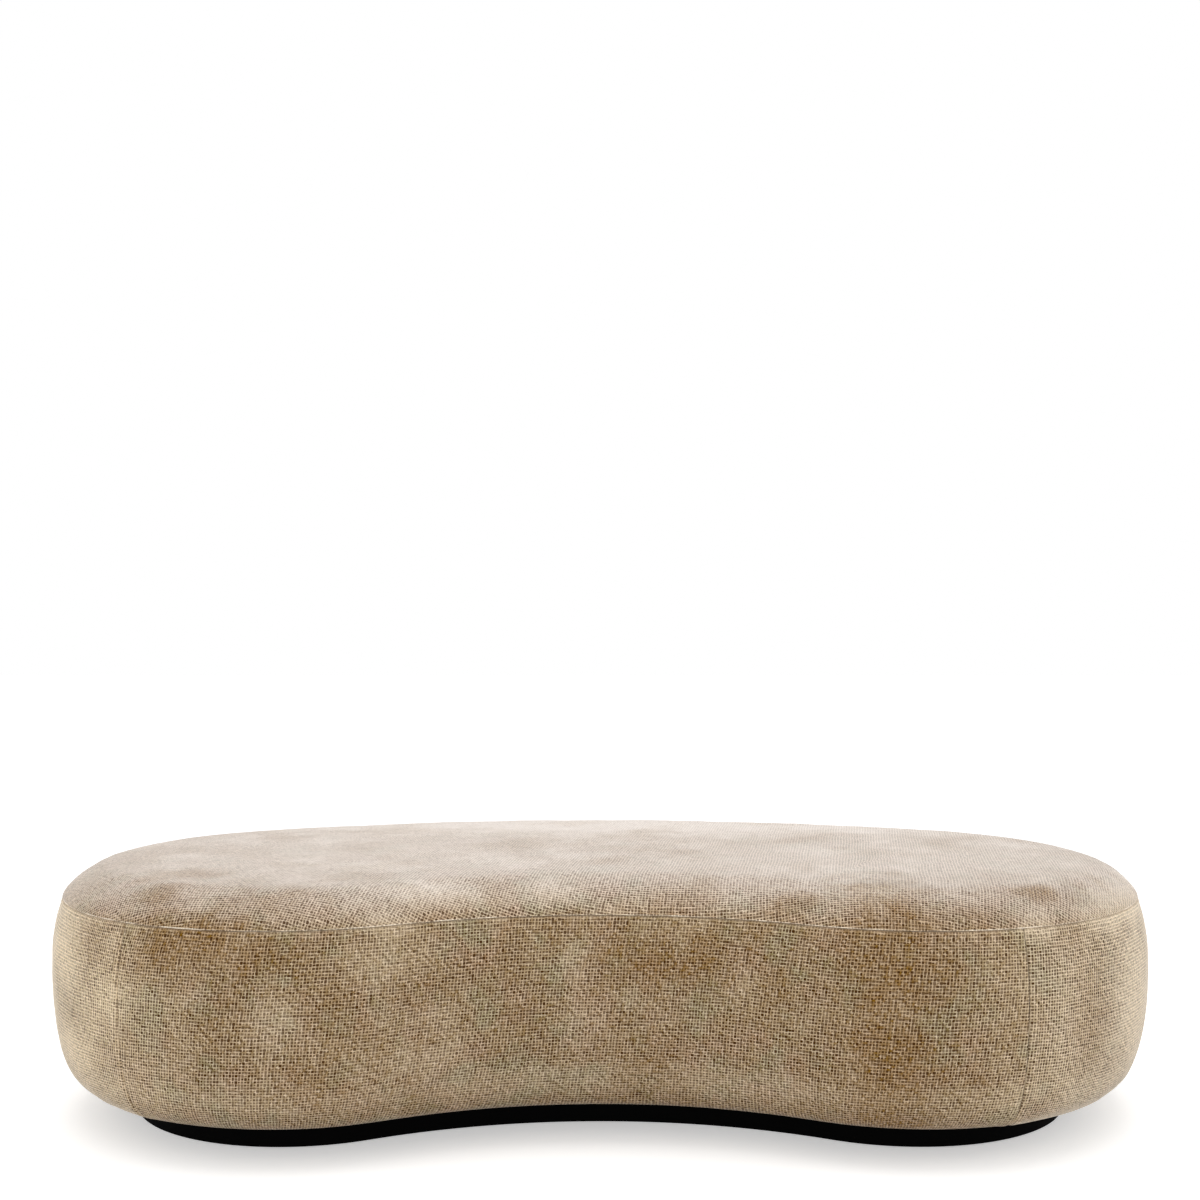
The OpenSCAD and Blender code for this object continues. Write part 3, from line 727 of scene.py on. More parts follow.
def fabricMaterial(name, yarn="plain", tip="tip", run=None, lean=0.0, turn=0.0, hole=0.375, sheen=0.85,
                   tint="sheenTint"):  # without a run it is the seat's
    material, shader, here, flat = startMaterial(name)
    woven = addNode("Group", {"Vector": flat, "Pitch": fabricLook["pitch"], "Lean": lean, "Hole": hole},
                    material.node_tree, node_tree=weave)
    turned = addNode("Mapping", {"Vector": here, "Rotation": (0, 0, turn)})
    patches = addNode("Group", {"Vector": turned}, node_tree=clouds)
    patchLook = bandLook if run else topLook
    brown = work("MAXIMUM", patches["Brown"] * patchLook["brown"], softSpots(here, darkerSpots))
    # the pale spots carry painted light and sheen as well as paler patches of the pile
    pale = work("MAXIMUM", patches["Pale"] * patchLook["pale"], softSpots(here, palePatchesAndPaintedLight))
    pale = pale * (1.0 - brown * fabricLook["paleOnBrown"])
    colour = blendColours(patches["Green"] * fabricLook["green"], yarns[yarn], yarns["green"])
    colour = blendColours(patches["Rose"] * fabricLook["rose"], colour, yarns["rose"])
    colour = blendColours(pale, blendColours(brown, colour, yarns["brown"]), yarns["pale"])
    if run:   # painted sheen: the cloth is painted paler towards the left tip and the right tip
        across = parts(here)[0]
        paintedTipSheen = work("MAXIMUM", levels(across, 0.0, 1.0, *bandLook["leftTip"]),
                    levels(across, 0.0, 1.0, *bandLook["rightTip"]))
        patchy = pale * bandLook["tipPale"] + bandLook["tipShare"] - brown * bandLook["tipBrown"]
        paintedTipSheen = work("MULTIPLY", paintedTipSheen, patchy, clamp=True)
        colour = blendColours(paintedTipSheen, colour, yarns[tip])
    tone = levels(woven["Threads"], *fabricLook["threadRange"], clamp=False)
    colour = vectorWork("ADD", colour, vectorWork("SCALE", fabricLook["threadTone"], tone))
    colour = vectorWork("SCALE", colour, levels(woven["Fibres"], *fabricLook["fluffRange"]))
    holes = work("SUBTRACT", woven["Holes"], pale * fabricLook["paleHoles"], clamp=True)
    if run:
        colour, holes = bandFinish(here, flat, run, paintedTipSheen, colour, holes)
    else:
        colour, holes = topFinish(here, brown, pale, colour, holes)
    # the gaps between the threads, and the seam lines, take the painted shade colour
    finishMaterial(shader, blendColours(holes, colour, yarns["hole"]),
                   levels(woven["Fibres"], *fabricLook["roughness"]),
                   woven["Height"], fabricLook["bumpStrength"], fabricLook["bump"],
                   **{"Specular IOR Level": fabricLook["shine"], "Sheen Weight": sheen,
                      "Sheen Roughness": fabricLook["sheenRoughness"], "Sheen Tint": fabricLook[tint]})
    return material


bandRuns = {
    "front": ["leftFront", "front", "rightFront"],
    "right": ["rightEnd"],
    "back": ["back"],
    "left": ["leftEnd"],
}
fabrics = {
    "front": fabricMaterial("bandFabric", run=bandRuns["front"], lean=-0.11, sheen=0.3),
    "right": fabricMaterial("rightFabric", "end", "rightTip", bandRuns["right"], lean=-0.05, turn=0.9,
                            hole=0.37, sheen=1.0, tint="endSheenTint"),
    "back": fabricMaterial("backFabric", run=bandRuns["back"], lean=-0.04, turn=1.7, sheen=0.4),
    "left": fabricMaterial("leftFabric", run=bandRuns["left"], lean=-0.07, turn=0.4,
                           hole=0.37, sheen=1.0, tint="endSheenTint"),
    "top": fabricMaterial("topFabric", "shoulder", turn=2.3),
}
print("fabric ready")


# Cover: the bands round the sides

cover = {
    "fabric": 0.0016,
    "swell": 0.0016,   # how far the cloth starts inside its form
}
band = {
    "rowStep": 0.0125,
    "columnStep": 0.013,
    "endSteps": (0.0012, 0.0014, 0.0018, 0.0026, 0.005),   # close steps beside a side seam
    "hem": [(0.106, 0.0504), (0.0985, 0.0501), (0.0905, 0.05), (0.082, 0.05)],
    "turnIn": [(0.0127, 0.3442), (0.0141, 0.3482), (0.015, 0.3505), (0.0161, 0.3517), (0.0182, 0.3524),
               (0.0235, 0.3526)],
    "upperStep": 0.002,
    "upperSteps": 41,
    "swellRows": (4, 3),   # rows over which the swell sets in, at the bottom and at the top
    "sewnEnd": 0.007,   # beside a seam the cloth is held, and then comes free over the next length
    "freeEnd": 0.04,
    "freeEdge": 0.03,
    "grooveDepth": 0.0025,
    "grooveWidth": 0.0034,
    "ridgeHeight": 0.0005,
    "ridgeWidth": 3.0,   # in widths of the groove
    "waves": 0.0009,
    "waveSizes": ((0.07, 2.0), (0.03, 5.0)),   # each with its seed
    "shortWaves": 0.6,
    "waveStart": 0.004,
    "waveEnd": 0.05,
    "waveEdge": 0.04,
}
ringLength = runLength(wholeRing)


def bandSection():
    heights = [bench["bellyHeight"] + band["upperStep"] * (k + 1) for k in range(band["upperSteps"])]
    belly = [lowerPoint(angle) for angle in range(91)] + [upperPoint(height) for height in heights]
    side = evenly(belly, band["rowStep"])
    low, high = band["swellRows"]
    side = sunk(side, lambda k: cover["swell"] * min(1.0, k / low, (len(side) - 1 - k) / high))
    return band["hem"] + side + band["turnIn"]


def weaveLayer(piece):
    while piece.data.uv_layers:
        piece.data.uv_layers.remove(piece.data.uv_layers[0])
    return piece.data.uv_layers.new(name="weave")


def laySection(piece, section, run):  # the cloth's own measure along the band and up it, as a UV map
    girths = girthOf(section)
    along, up = [], []
    first, early = ringStart[run[0]], 0.05   # a place up to early before the first counts as before it
    for vertex in piece.data.vertices:
        x, y, height = vertex.co
        name, place, depth = placeOf(x, y)
        along.append((place - first + early) % ringLength - early)
        up.append(girths[nearestRow(section, depth, height)])
    layer = weaveLayer(piece)
    for loop in piece.data.loops:
        layer.data[loop.index].uv = (along[loop.vertex_index] + first, up[loop.vertex_index])
    return along, up, girths


def finishCover(piece, material, node):
    applyModifier(piece, "SOLIDIFY", thickness=cover["fabric"], offset=-1.0)
    bpy.ops.object.shade_smooth()
    finishPiece(piece, "cover_fabric", material, node)
    print("cover:", piece.name, len(piece.data.polygons), "faces")


def makeBand(name, run, material, node):
    section = bandSection()
    piece = drawSection(name, section, run[0])
    spinAlong(run, band["columnStep"], band["endSteps"])
    faceOutwards(piece)
    along, up, girths = laySection(piece, section, run)
    reach = runLength(run)
    hemEnd, seamStart = girths[len(band["hem"])], girths[-1 - len(band["turnIn"])]
    loose = []
    for k, vertex in enumerate(piece.data.vertices):
        beside = clamped((min(along[k], reach - along[k]) - band["sewnEnd"]) / band["freeEnd"])
        within = clamped(min(up[k] - hemEnd, seamStart - up[k]) / band["freeEdge"])
        vertex.co += outwardAt(vertex.co.x, vertex.co.y) * cover["swell"] * (1 - beside) * within
        loose.append(beside * within)
    inflate(piece, loose)
    applyModifier(piece, "SUBSURF", levels=1, render_levels=1, uv_smooth="NONE")

    layer = piece.data.uv_layers["weave"]
    onCloth = {loop.vertex_index: layer.data[loop.index].uv for loop in piece.data.loops}

    def besideSeam(vertex):  # fine waves; next to a side seam the cloth rises a little and turns in
        place, girth = onCloth[vertex.index]
        near = min(place - ringStart[run[0]], reach - (place - ringStart[run[0]]))
        free = clamped(min((near - band["waveStart"]) / band["waveEnd"], (girth - hemEnd) / band["waveEdge"],
                           (seamStart - girth) / band["waveEdge"]))
        move = free * waves(vertex.co, band)
        past = near / band["grooveWidth"] - 1
        if past < 0:
            return move - band["grooveDepth"] * past ** 2
        if past < band["ridgeWidth"]:
            return move + band["ridgeHeight"] * sin(pi * past / band["ridgeWidth"])
        return move

    moveAlongNormals(piece, besideSeam)
    finishCover(piece, material, node)


for side, run in bandRuns.items():
    makeBand(side + "Band", run, fabrics[side], "cover_" + side + "_band")


# Cover: the seat panel, with the folded edge that stands out over the bands

seat = {
    "rowStep": 0.0155,
    "columnStep": 0.0165,
    "edge": [(0.0235, 0.353), (0.0195, 0.3528), (0.0168, 0.3526), (0.0154, 0.3527), (0.0148, 0.3532),
             (0.015, 0.3538), (0.0156, 0.3552), (0.0166, 0.3572), (0.0181, 0.3596), (0.0202, 0.3622)],
    "shoulderStart": 0.0225,
    "fineStep": 0.0005,
    "fineSteps": 528,
    "swellRows": 4,
    "weld": 0.0002,
    "middleSpan": 26,
    "middleAbove": 0.39,   # the open edge above this height is closed with a grid
    "flatFrom": 0.108,     # the weave is laid flat from this inset inwards
    "weaveTurn": 9.0,
    "freeEdge": 0.04,
    "waves": 0.0008,
    "waveSizes": ((0.09, 3.0), (0.035, 6.0)),
    "shortWaves": 0.5,
    "waveFoot": 0.362,
    "waveRise": 0.03,
}
shoulder = [crownPoint(seat["shoulderStart"] + seat["fineStep"] * k) for k in range(seat["fineSteps"])]
shoulder = evenly(shoulder, seat["rowStep"])
shoulder = sunk(shoulder, lambda k: cover["swell"] * min(1.0, k / seat["swellRows"]))
seatSection = seat["edge"] + shoulder

seatPanel = drawSection("seatPanel", seatSection, "rightFront")
spinAlong(wholeRing, seat["columnStep"])
mergeClose(seat["weld"])
selectOuterEdges(seatPanel, lambda middle: middle.z > seat["middleAbove"])
bpy.ops.mesh.fill_grid(span=seat["middleSpan"])
faceOutwards(seatPanel)

layer = weaveLayer(seatPanel)
girths = girthOf(seatSection)
flatRow = min(range(len(seatSection)), key=lambda k: abs(seatSection[k][0] - seat["flatFrom"]))
loose, flatPlace = [], []
for vertex in seatPanel.data.vertices:
    x, y, height = vertex.co
    depth = placeOf(x, y)[2]
    row = nearestRow(seatSection, depth, height)
    spot = Vector((x, y, 0))
    if row < flatRow:
        spot += outwardAt(x, y) * (girths[flatRow] - girths[row] - (seatSection[flatRow][0] - depth))
    flatPlace.append(spot)
    loose.append(clamped((girths[row] - girths[len(seat["edge"])]) / seat["freeEdge"]))
turnCos, turnSin = cos(radians(seat["weaveTurn"])), sin(radians(seat["weaveTurn"]))
for loop in seatPanel.data.loops:
    spot = flatPlace[loop.vertex_index]
    layer.data[loop.index].uv = (spot.x * turnCos - spot.y * turnSin, spot.x * turnSin + spot.y * turnCos)
inflate(seatPanel, loose)
applyModifier(seatPanel, "SUBSURF", levels=1, render_levels=1, uv_smooth="NONE")


def seatWaves(vertex):
    return waves(vertex.co, seat) * clamped((vertex.co.z - seat["waveFoot"]) / seat["waveRise"])


moveAlongNormals(seatPanel, seatWaves)
finishCover(seatPanel, fabrics["top"], "cover_top_panel")


# Padding under the cover: foam, wadding, felt and the cloth under the base

unevenSurface = {"coarse": 0.6, "fine": 0.4, "finer": 14, "middle": (0.3, 0.7), "roughness": 0.08}


def uneven(here, colour, roughness, grain, spread, detail=3.0):  # a mottled colour, roughness and fine grain
    look = unevenSurface
    fine = noiseAt(here, grain * look["finer"], detail)
    both = noiseAt(here, grain, 4.0) * look["coarse"] + fine * look["fine"]
    tone = levels(both, 1 - spread, 1 + spread, *look["middle"])
    rough = levels(fine, roughness - look["roughness"], min(1.0, roughness + look["roughness"]))
    return vectorWork("SCALE", colour[:3], tone), rough, fine


def plainMaterial(name, colour, roughness, grain, depth, spread, detail=3.0, strength=0.5, **constants):
    material, shader, here, flat = startMaterial(name)
    surface = uneven(here, colour, roughness, grain, spread, detail)
    finishMaterial(shader, *surface, strength, depth, **constants)
    return material


foamLook = {
    "surface": {"roughness": 0.9, "grain": 14.0, "spread": 0.05},
    "cellsPerMetre": 520.0,
    "walls": (0.15, 0.55),
    # how dark the painted shade in the pores is
    "dark": 0.62,
    "share": 0.4,
    "strength": 0.6,
    "bump": 0.0009,
    "scatter": 0.06,
}


def foamMaterial(name, colour):  # open cells, with painted shade in the pores of the cut surface
    material, shader, here, flat = startMaterial(name)
    look = foamLook
    mottled, rough, fine = uneven(here, colour, **look["surface"])
    walls = ramp(addNode("TexVoronoi", {"Vector": here, "Scale": look["cellsPerMetre"]}), *look["walls"])
    paintedPoreShade = blendColours((1.0 - walls) * look["share"], mottled, darkened(colour, look["dark"]))
    finishMaterial(shader, paintedPoreShade, rough, walls, look["strength"], look["bump"],
                   **{"Subsurface Weight": look["scatter"]})
    return material


firmFoam = foamMaterial("firmFoam", shade(226, 205, 150))
softFoam = foamMaterial("softFoam", shade(240, 232, 208))
sideFoam = foamMaterial("sideFoam", shade(228, 214, 170))
fibreWadding = plainMaterial("fibreWadding", shade(240, 240, 236), 0.92, 26.0, 0.0022, 0.06, 5.0, 0.8)
greyFelt = plainMaterial("greyFelt", shade(122, 120, 116), 0.95, 40.0, 0.0007, 0.3, 5.0, 0.7)
blackNonwoven = plainMaterial("blackNonwoven", shade(30, 30, 31), 0.88, 30.0, 0.0003, 0.25, 4.0, 0.6)

padding = {
    "step": 0.024,
    "sideStep": 0.016,
    "upperSteps": 12,
    "crownStep": 0.02,
    "fineStep": 0.002,
    "fineSteps": 136,
    "wrapDepth": 0.0036,   # the wadding lies just under the cloth
    "wrapGap": 0.002,
    "foamDepth": 0.01,
    "foamFoot": 0.06,
    "skinInset": 0.086,
    "skinFoot": 0.052,
    "wrapFoot": 0.0595,
    "deck": 0.3,
    "split": 0.35,
    "felt": (0.091, 0.297, 0.2998),   # inset, bottom and top
    "dust": (0.108, 0.0512, 0.052),
    "middle": 0.2,   # inset of the flat face that closes a layer's middle
    "clear": 0.0005,
    "crownClear": 0.003,
    "rounding": 0.0015,
    "roundedFrom": 50,   # degrees
    "bumps": 0.0005,
    "feltBumps": 0.0002,
    "bumpSize": 0.05,
    "bumpSeed": 4.0,
    "weld": 0.0001,
}


def sideLine(depth, top):
    belly, steps = bench["bellyHeight"], padding["upperSteps"]
    line = [lowerPoint(angle) for angle in range(0, 91, 2)]
    line += [upperPoint(belly + (top - belly) * k / steps) for k in range(1, steps + 1)]
    return sunk(evenly(line, padding["sideStep"]), depth)


def crownLine(depth):
    line = [crownPoint(bench["seamDraw"] + padding["fineStep"] * k) for k in range(padding["fineSteps"])]
    return sunk(evenly(line, padding["crownStep"]), depth)


def finishLayer(piece, material, slot, node, softness, bumps):
    makeActive(piece)
    editMode()
    mergeClose(padding["weld"])
    recalculateNormals()
    if softness:
        applyModifier(piece, "BEVEL", width=softness, segments=2, limit_method="ANGLE",
                      angle_limit=radians(padding["roundedFrom"]))
    if bumps:
        size, seed = padding["bumpSize"], padding["bumpSeed"]
        moveAlongNormals(piece, lambda vertex: bumps * ripple(vertex.co, size, seed))
    bpy.ops.object.shade_smooth_by_angle(angle=smoothAngle)
    return finishPiece(piece, slot, material, node)


def sideLayer(name, run, outer, inner, material, slot, node, softness=0.0, bumps=0.0):  # along some arcs
    piece = drawSection(name, outer + inner[::-1], run[0], closed=True)
    spinAlong(run, padding["step"])
    selectOuterEdges(piece, lambda middle: True)
    bpy.ops.mesh.fill_holes(sides=0)
    finishLayer(piece, material, slot, node, softness, bumps)


def wholeLayer(name, section, material, slot, node, softness=0.0, bumps=0.0):  # a layer over the whole plan
    piece = drawSection(name, section, "rightFront")
    spinAlong(wholeRing, padding["step"])
    mergeClose(padding["weld"])
    for inset, height in (section[0], section[-1]):
        selectOuterEdges(piece, lambda middle: abs(middle.z - height) < 2 * padding["weld"])
        bpy.ops.mesh.edge_face_add()
    return finishLayer(piece, material, slot, node, softness, bumps)


skin, wrap, foam = padding["skinInset"], padding["wrapDepth"], padding["foamDepth"]
foamOuter = sideLine(foam + padding["clear"], padding["deck"])
foamInner = [(skin, padding["foamFoot"]), (skin, foamOuter[-1][1])]
for side, run in (("front", ["front"]), ("back", ["back"]), ("left", ["leftEnd", "leftFront"]),
                  ("right", ["rightFront", "rightEnd"])):
    sideLayer(side + "SideFoam", run, foamOuter, foamInner, sideFoam, "foam", side + "_side_foam",
              softness=padding["rounding"])

wrapTop = seamHeight - padding["wrapGap"]
wrapOuter = [(skin, padding["skinFoot"])] + sideLine(wrap, wrapTop)
wrapInner = [(skin, padding["wrapFoot"])] + sideLine(foam, wrapTop)
for side, run in (("front", bandRuns["front"]), ("back", ["rightEnd", "back", "leftEnd"])):
    sideLayer(side + "SideWadding", run, wrapOuter, wrapInner, fibreWadding, "wadding",
              side + "_side_wadding", bumps=padding["bumps"])

crownWrap = crownLine(foam - padding["clear"])[::-1] + crownLine(wrap)
wadding = wholeLayer("topWadding", crownWrap, fibreWadding, "wadding", "top_wadding", bumps=padding["bumps"])

deck, split, middle = padding["deck"], padding["split"], padding["middle"]
splitEdge = (upperPoint(split)[0] + foam, split)
deckEdge = (upperPoint(deck)[0] + foam, deck)
comfort = [(middle, split), splitEdge]
comfort += [spot for spot in crownLine(foam) if spot[1] > split + padding["crownClear"]]
core = [(middle, deck), deckEdge, splitEdge, (middle, split)]
for name, section, material, node in (("comfortFoam", comfort, softFoam, "seat_comfort_foam"),
                                      ("coreFoam", core, firmFoam, "seat_core_foam")):
    wholeLayer(name, section, material, "foam", node, padding["rounding"])


def planArea(inset):  # area of the plan, moved in by the inset
    points, steps = [], 40
    for name, (x, y, radius, first, last) in arcs.items():
        points += [outlinePoint(name, inset, first + (last - first) * k / steps) for k in range(steps)]
    return abs(sum(a[0] * b[1] - b[0] * a[1] for a, b in zip(points, points[1:] + points[:1]))) / 2


def flatLayer(name, place, material, slot, node, bumps=0.0):
    inset, bottom, top = place
    section = [(middle, bottom), (inset, bottom), (inset, top), (middle, top)]
    return wholeLayer(name, section, material, slot, node, bumps=bumps)


felt = flatLayer("insulatorFelt", padding["felt"], greyFelt, "felt", "insulator_felt", padding["feltBumps"])
planArea(0.091)
dust = flatLayer("dustCover", padding["dust"], blackNonwoven, "dust_cloth", "dust_cover")
planArea(0.108)
print("padding ready")


# Webbing: woven straps with bevelled edges

webbing = {
    "width": 0.07,
    "thickness": 0.0019,
    "rounding": 0.0005,
    "height": 0.293,
    "crossGap": 0.145,
    "crossCount": 9,
    "crossSteps": 16,
    "crossStart": 0.05,   # a line along the bench from which both ends are found
    "longGap": 0.105,
    "longCount": 3,
    "longSteps": 8,
    "longStart": 0.5,
    "endInset": 0.106,
    "lift": 0.002,        # the long straps lie on the cross ones
    "liftLength": 0.012,
    "clear": 0.002,
    "farthest": 1.2,
    "halvings": 40,
    "roundedFrom": 60,    # degrees
}
juteLook = {"roughness": 0.85, "grain": 30.0, "spread": 0.2}
# dark: how strongly the weave's gaps are painted with shade
strapWeave = {"pitch": 0.0026, "hole": 0.2, "dark": 0.8, "strength": 0.7, "bump": 0.0006}


def strapMaterial():
    material, shader, here, flat = startMaterial("jute")
    look = strapWeave
    mottled, rough, fine = uneven(here, shade(74, 70, 66), **juteLook)
    woven = addNode("Group", {"Vector": here, "Pitch": look["pitch"], "Hole": look["hole"]}, node_tree=weave)
    # painted shade in the gaps of the strap's weave
    dark = blendColours(woven["Holes"] * look["dark"], mottled, shade(22, 20, 19))
    finishMaterial(shader, dark, rough, woven["Height"], look["strength"], look["bump"])
    return material


def makeStrap(name, line):  # the strap's middle line, then its width and its thickness
    strap = drawChain(name, line)
    way = (line[-1] - line[0]).normalized()
    side = Vector((-way.y, way.x, 0)) * webbing["width"] / 4
    bpy.ops.transform.translate(value=-side * 2)
    for k in range(4):
        bpy.ops.mesh.extrude_region_move(TRANSFORM_OT_translate={"value": side})
    recalculateNormals()
    if strap.data.polygons[0].normal.z < 0:
        turnInsideOut()
    applyModifier(strap, "SOLIDIFY", thickness=webbing["thickness"], offset=1.0)
    applyModifier(strap, "BEVEL", width=webbing["rounding"], segments=1, limit_method="ANGLE",
                  angle_limit=radians(webbing["roundedFrom"]))
    return strap


def edgeAlong(start, way):  # how far a line runs before it meets the plan, moved in by the inset
    near, far = 0.0, webbing["farthest"]
    for k in range(webbing["halvings"]):
        half = (near + far) / 2
        spot = start + way * half
        within = abs(spot.x) < bench["length"] / 2 and abs(spot.y) < bench["depth"] / 2
        if within and placeOf(spot.x, spot.y)[2] > webbing["endInset"]:
            near = half
        else:
            far = half
    return near


def strapReach(start, way):  # the shortest of its two edges and its middle
    side = Vector((-way.y, way.x, 0)) * webbing["width"] / 2
    return min(edgeAlong(start + side * k, way) for k in (-1, 0, 1))


def finishStraps(name, straps, node):
    clearSelection()
    for strap in straps:
        strap.select_set(True)
    bpy.context.view_layer.objects.active = straps[0]
    bpy.ops.object.join()
    straps[0].name = straps[0].data.name = name
    bpy.ops.object.shade_smooth_by_angle(angle=smoothAngle)
    finishPiece(straps[0], "webbing", jute, node)


jute = strapMaterial()
low, outermost = webbing["height"], (webbing["crossCount"] - 1) / 2
straps = []
for k in range(webbing["crossCount"]):
    start = Vector(((k - outermost) * webbing["crossGap"], webbing["crossStart"], low))
    front = Vector((start.x, start.y - strapReach(start, Vector((0, -1, 0))), low))
    back = Vector((start.x, start.y + strapReach(start, Vector((0, 1, 0))), low))
    straps.append(makeStrap("crossStrap", [front.lerp(back, j / webbing["crossSteps"])
                                           for j in range(webbing["crossSteps"] + 1)]))
finishStraps("crossWebbing", straps, "cross_webbing")

crossEnd = outermost * webbing["crossGap"] + webbing["width"] / 2 + webbing["clear"]
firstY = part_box("long_webbing")[1][1] - webbing["width"] / 2
straps, steps = [], webbing["longSteps"]
for k in range(webbing["longCount"]):
    start = Vector((webbing["longStart"], firstY - k * webbing["longGap"], low))
    line = [(start.x + strapReach(start, Vector((1, 0, 0))), 0.0)]
    line += [(crossEnd + webbing["liftLength"] * back, webbing["lift"] * share)
             for back, share in ((1.0, 0.0), (0.75, 0.1), (0.5, 0.5), (0.25, 0.9), (0.0, 1.0))]
    line += [(crossEnd * (1 - j / steps), webbing["lift"]) for j in range(1, steps + 1)]
    line = [(-x, lift) for x, lift in line] + line[-2::-1]
    straps.append(makeStrap("longStrap", [Vector((x, start.y, low + lift)) for x, lift in line]))
finishStraps("longWebbing", straps, "long_webbing")
print("webbing ready")


# Frame, plinth and fixings keep their own shape and get their finish

woodLook = {
    "bands": 0.7,
    "fine": 0.3,
    "fineScale": 420.0,
    "pores": (0.6, 0.72),
    "poreDark": 0.45,
    "poreShare": 0.35,
    "tone": (0.36, 0.64),
    "plyDark": 0.55,
    "plyShare": 0.6,
    "plyThickness": 0.0018,
    "plyLine": (0.0006, 0.0011),
    "cutFace": (0.7, 0.4),   # how far a face looks away from the board's flat side
    "roughness": (0.5, 0.78),
    "bump": 0.0006,
    "bumpStrength": 0.35,
}


def grainGroup():  # wood: long fibres, growth bands and a few pores
    look = woodLook
    inputs = {"Vector": None, "Stretch": 14.0, "Bands": 26.0}
    tree, given, put = newGroup("woodGrain", inputs, ["Tone", "Pores"])
    x, y, z = parts(given["Vector"])
    pulled = joined(x / given["Stretch"], y, z)
    fine = noiseAt(pulled, look["fineScale"], 3.0)
    growth = noiseAt(pulled, given["Bands"], 5.0, Distortion=0.6)
    connect(put["Tone"], growth * look["bands"] + fine * look["fine"])
    connect(put["Pores"], ramp(fine, *look["pores"]))
    return tree


grain = grainGroup()


def woodMaterial(name, pale, dark, turn=(0, 0, 0), stretch=14.0, plies=None):  # plies: the axis across them
    look = woodLook
    material, shader, here, flat = startMaterial(name)
    turned = addNode("Mapping", {"Vector": here, "Rotation": turn})
    wood = addNode("Group", {"Vector": turned, "Stretch": stretch}, node_tree=grain)
    colour = blendColours(ramp(wood["Tone"], *look["tone"]), dark, pale)
    colour = blendColours(wood["Pores"] * look["poreShare"], colour, darkened(dark, look["poreDark"]))
    if plies is not None:   # alternate layers show on the cut edges of a board
        facing = parts(addNode("NewGeometry", {}, material.node_tree)["Normal"])[plies]
        cut = ramp(work("ABSOLUTE", facing), *look["cutFace"])
        line = ramp(work("PINGPONG", parts(here)[plies], look["plyThickness"]), *look["plyLine"])
        colour = blendColours(cut * line * look["plyShare"], colour, darkened(dark, look["plyDark"]))
    finishMaterial(shader, colour, levels(wood["Tone"], *look["roughness"]), wood["Tone"],
                   look["bumpStrength"], look["bump"])
    return material


acrossBench, upright = (0, 0, pi / 2), (0, pi / 2, 0)
birch = shade(222, 196, 152), shade(196, 160, 112)
pine = shade(214, 172, 116), shade(180, 132, 80)
dressing = [
    (woodMaterial("plywoodFlat", *birch, plies=2),
     ["base_board", "seat_front_rail", "seat_back_rail", "seat_left_rail", "seat_right_rail"]),
    (woodMaterial("plywoodAcross", *birch, acrossBench, plies=0), ["cross_ribs"]),
    (woodMaterial("plywoodAlong", *birch, plies=1), ["spine_board"]),
    (woodMaterial("bentPly", shade(214, 184, 140), shade(184, 146, 100), upright),
     ["front_skin", "back_skin", "left_skin", "right_skin"]),
    (woodMaterial("softwood", *pine, acrossBench, 20.0),
     ["plinth_left_bearer", "plinth_middle_bearer", "plinth_right_bearer", "plinth_joint_blocks"]),
    (woodMaterial("softwoodPost", *pine, upright), ["end_posts"]),
    (plainMaterial("zincSteel", shade(176, 174, 168), 0.38, 60.0, 0.0001, 0.12, Metallic=1.0),
     ["plinth_screws", "rib_screws", "seat_rail_screws",
      "webbing_staples", "hem_staples", "dust_cover_staples"]),
    (plainMaterial("blackPlinth", shade(3, 3, 3), 0.8, 18.0, 0.00025, 0.35, **{"Specular IOR Level": 0.03}),
     ["plinth_front_wall", "plinth_back_wall", "plinth_left_end", "plinth_right_end"]),
    (plainMaterial("greyPlastic", shade(58, 58, 60), 0.45, 40.0, 0.0001, 0.1), ["floor_glides"]),
]
for material, names in dressing:
    for name in names:
        slots = nodes[name].data.materials
        slots.clear()
        slots.append(material)
print("frame and plinth dressed")


# Floor, light and camera

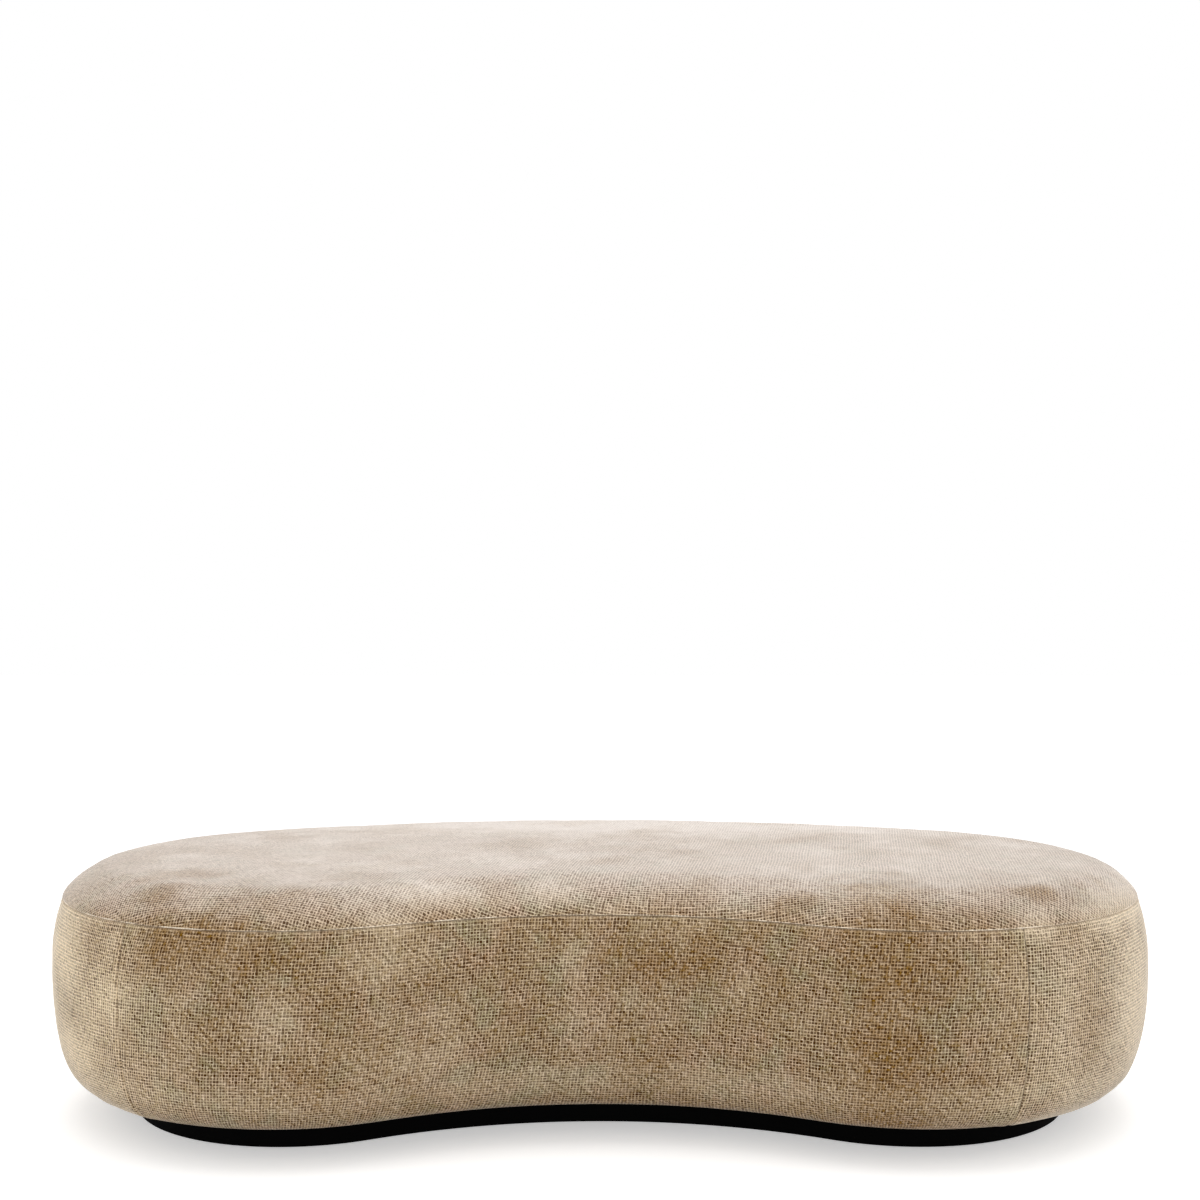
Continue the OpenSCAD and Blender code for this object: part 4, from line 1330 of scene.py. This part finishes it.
studio = {
    "floorSize": 30.0,
    "floorColour": (0.86, 0.86, 0.86, 1.0),
    "floorGlow": 0.41,
    "ambient": 0.80,
    "white": (1, 1, 1, 1),
    "aim": (0, 0, 0.25),
    "lamps": {   # place, size, watts
        "overhead": ((0.0, 0.1, 2.6), (3.4, 2.4), 40.0),
        "front": ((-0.4, -3.6, 0.85), (3.4, 1.4), 25.0),
        "right": ((3.4, -0.6, 1.3), (1.6, 1.6), 14.0),
        "left": ((-3.4, -0.6, 1.3), (1.6, 1.6), 7.0),
    },
}
cameraPlace = {"at": (-0.003, -2.806, 0.8305), "turn": -0.001, "lens": 48.95, "sensor": 36.0}


def seenDirectly(tree):  # 1 for what is seen, also in gloss or through glass, and 0 for other light
    paths = addNode("LightPath", {}, tree)
    return work("MAXIMUM", paths["Is Camera Ray"],
                work("MAXIMUM", paths["Is Glossy Ray"], paths["Is Transmission Ray"]))


clearSelection()
bpy.ops.mesh.primitive_plane_add(size=studio["floorSize"], location=(0, 0, 0))
floorPlane = bpy.context.object
floorPlane.name = "floor"

floorMaterial = bpy.data.materials.new("paleFloor")
floorMaterial.use_nodes = True
tree = floorMaterial.node_tree
tree.nodes.clear()
matt = addNode("BsdfDiffuse", {"Color": studio["floorColour"]}, tree)
glow = addNode("Emission", {"Color": studio["white"], "Strength": seenDirectly(tree) * studio["floorGlow"]})
both = addNode("AddShader", {0: matt, 1: glow})
connect(tree.nodes.new("ShaderNodeOutputMaterial").inputs["Surface"], both)
floorPlane.data.materials.append(floorMaterial)

world = bpy.data.worlds.new("studio")
bpy.context.scene.world = world
world.use_nodes = True
tree = world.node_tree
tree.nodes.clear()
strength = levels(seenDirectly(tree), studio["ambient"], 1.0)
sky = addNode("Background", {"Color": studio["white"], "Strength": strength})
connect(tree.nodes.new("ShaderNodeOutputWorld").inputs["Surface"], sky)

for name, (place, size, watts) in studio["lamps"].items():
    clearSelection()
    bpy.ops.object.light_add(type="AREA", location=place)
    lamp = bpy.context.object
    lamp.name = name
    lamp.data.shape = "RECTANGLE"
    lamp.data.size, lamp.data.size_y = size
    lamp.data.energy = watts
    lamp.rotation_euler = (Vector(studio["aim"]) - Vector(place)).to_track_quat("-Z", "Y").to_euler()
    lamp.visible_camera = False

bpy.ops.object.camera_add(location=cameraPlace["at"], rotation=(radians(90), 0, cameraPlace["turn"]))
camera = bpy.context.object
camera.data.lens = cameraPlace["lens"]
camera.data.sensor_width = cameraPlace["sensor"]
bpy.context.scene.camera = camera
bpy.context.scene.view_settings.view_transform = "Standard"
print("studio ready")
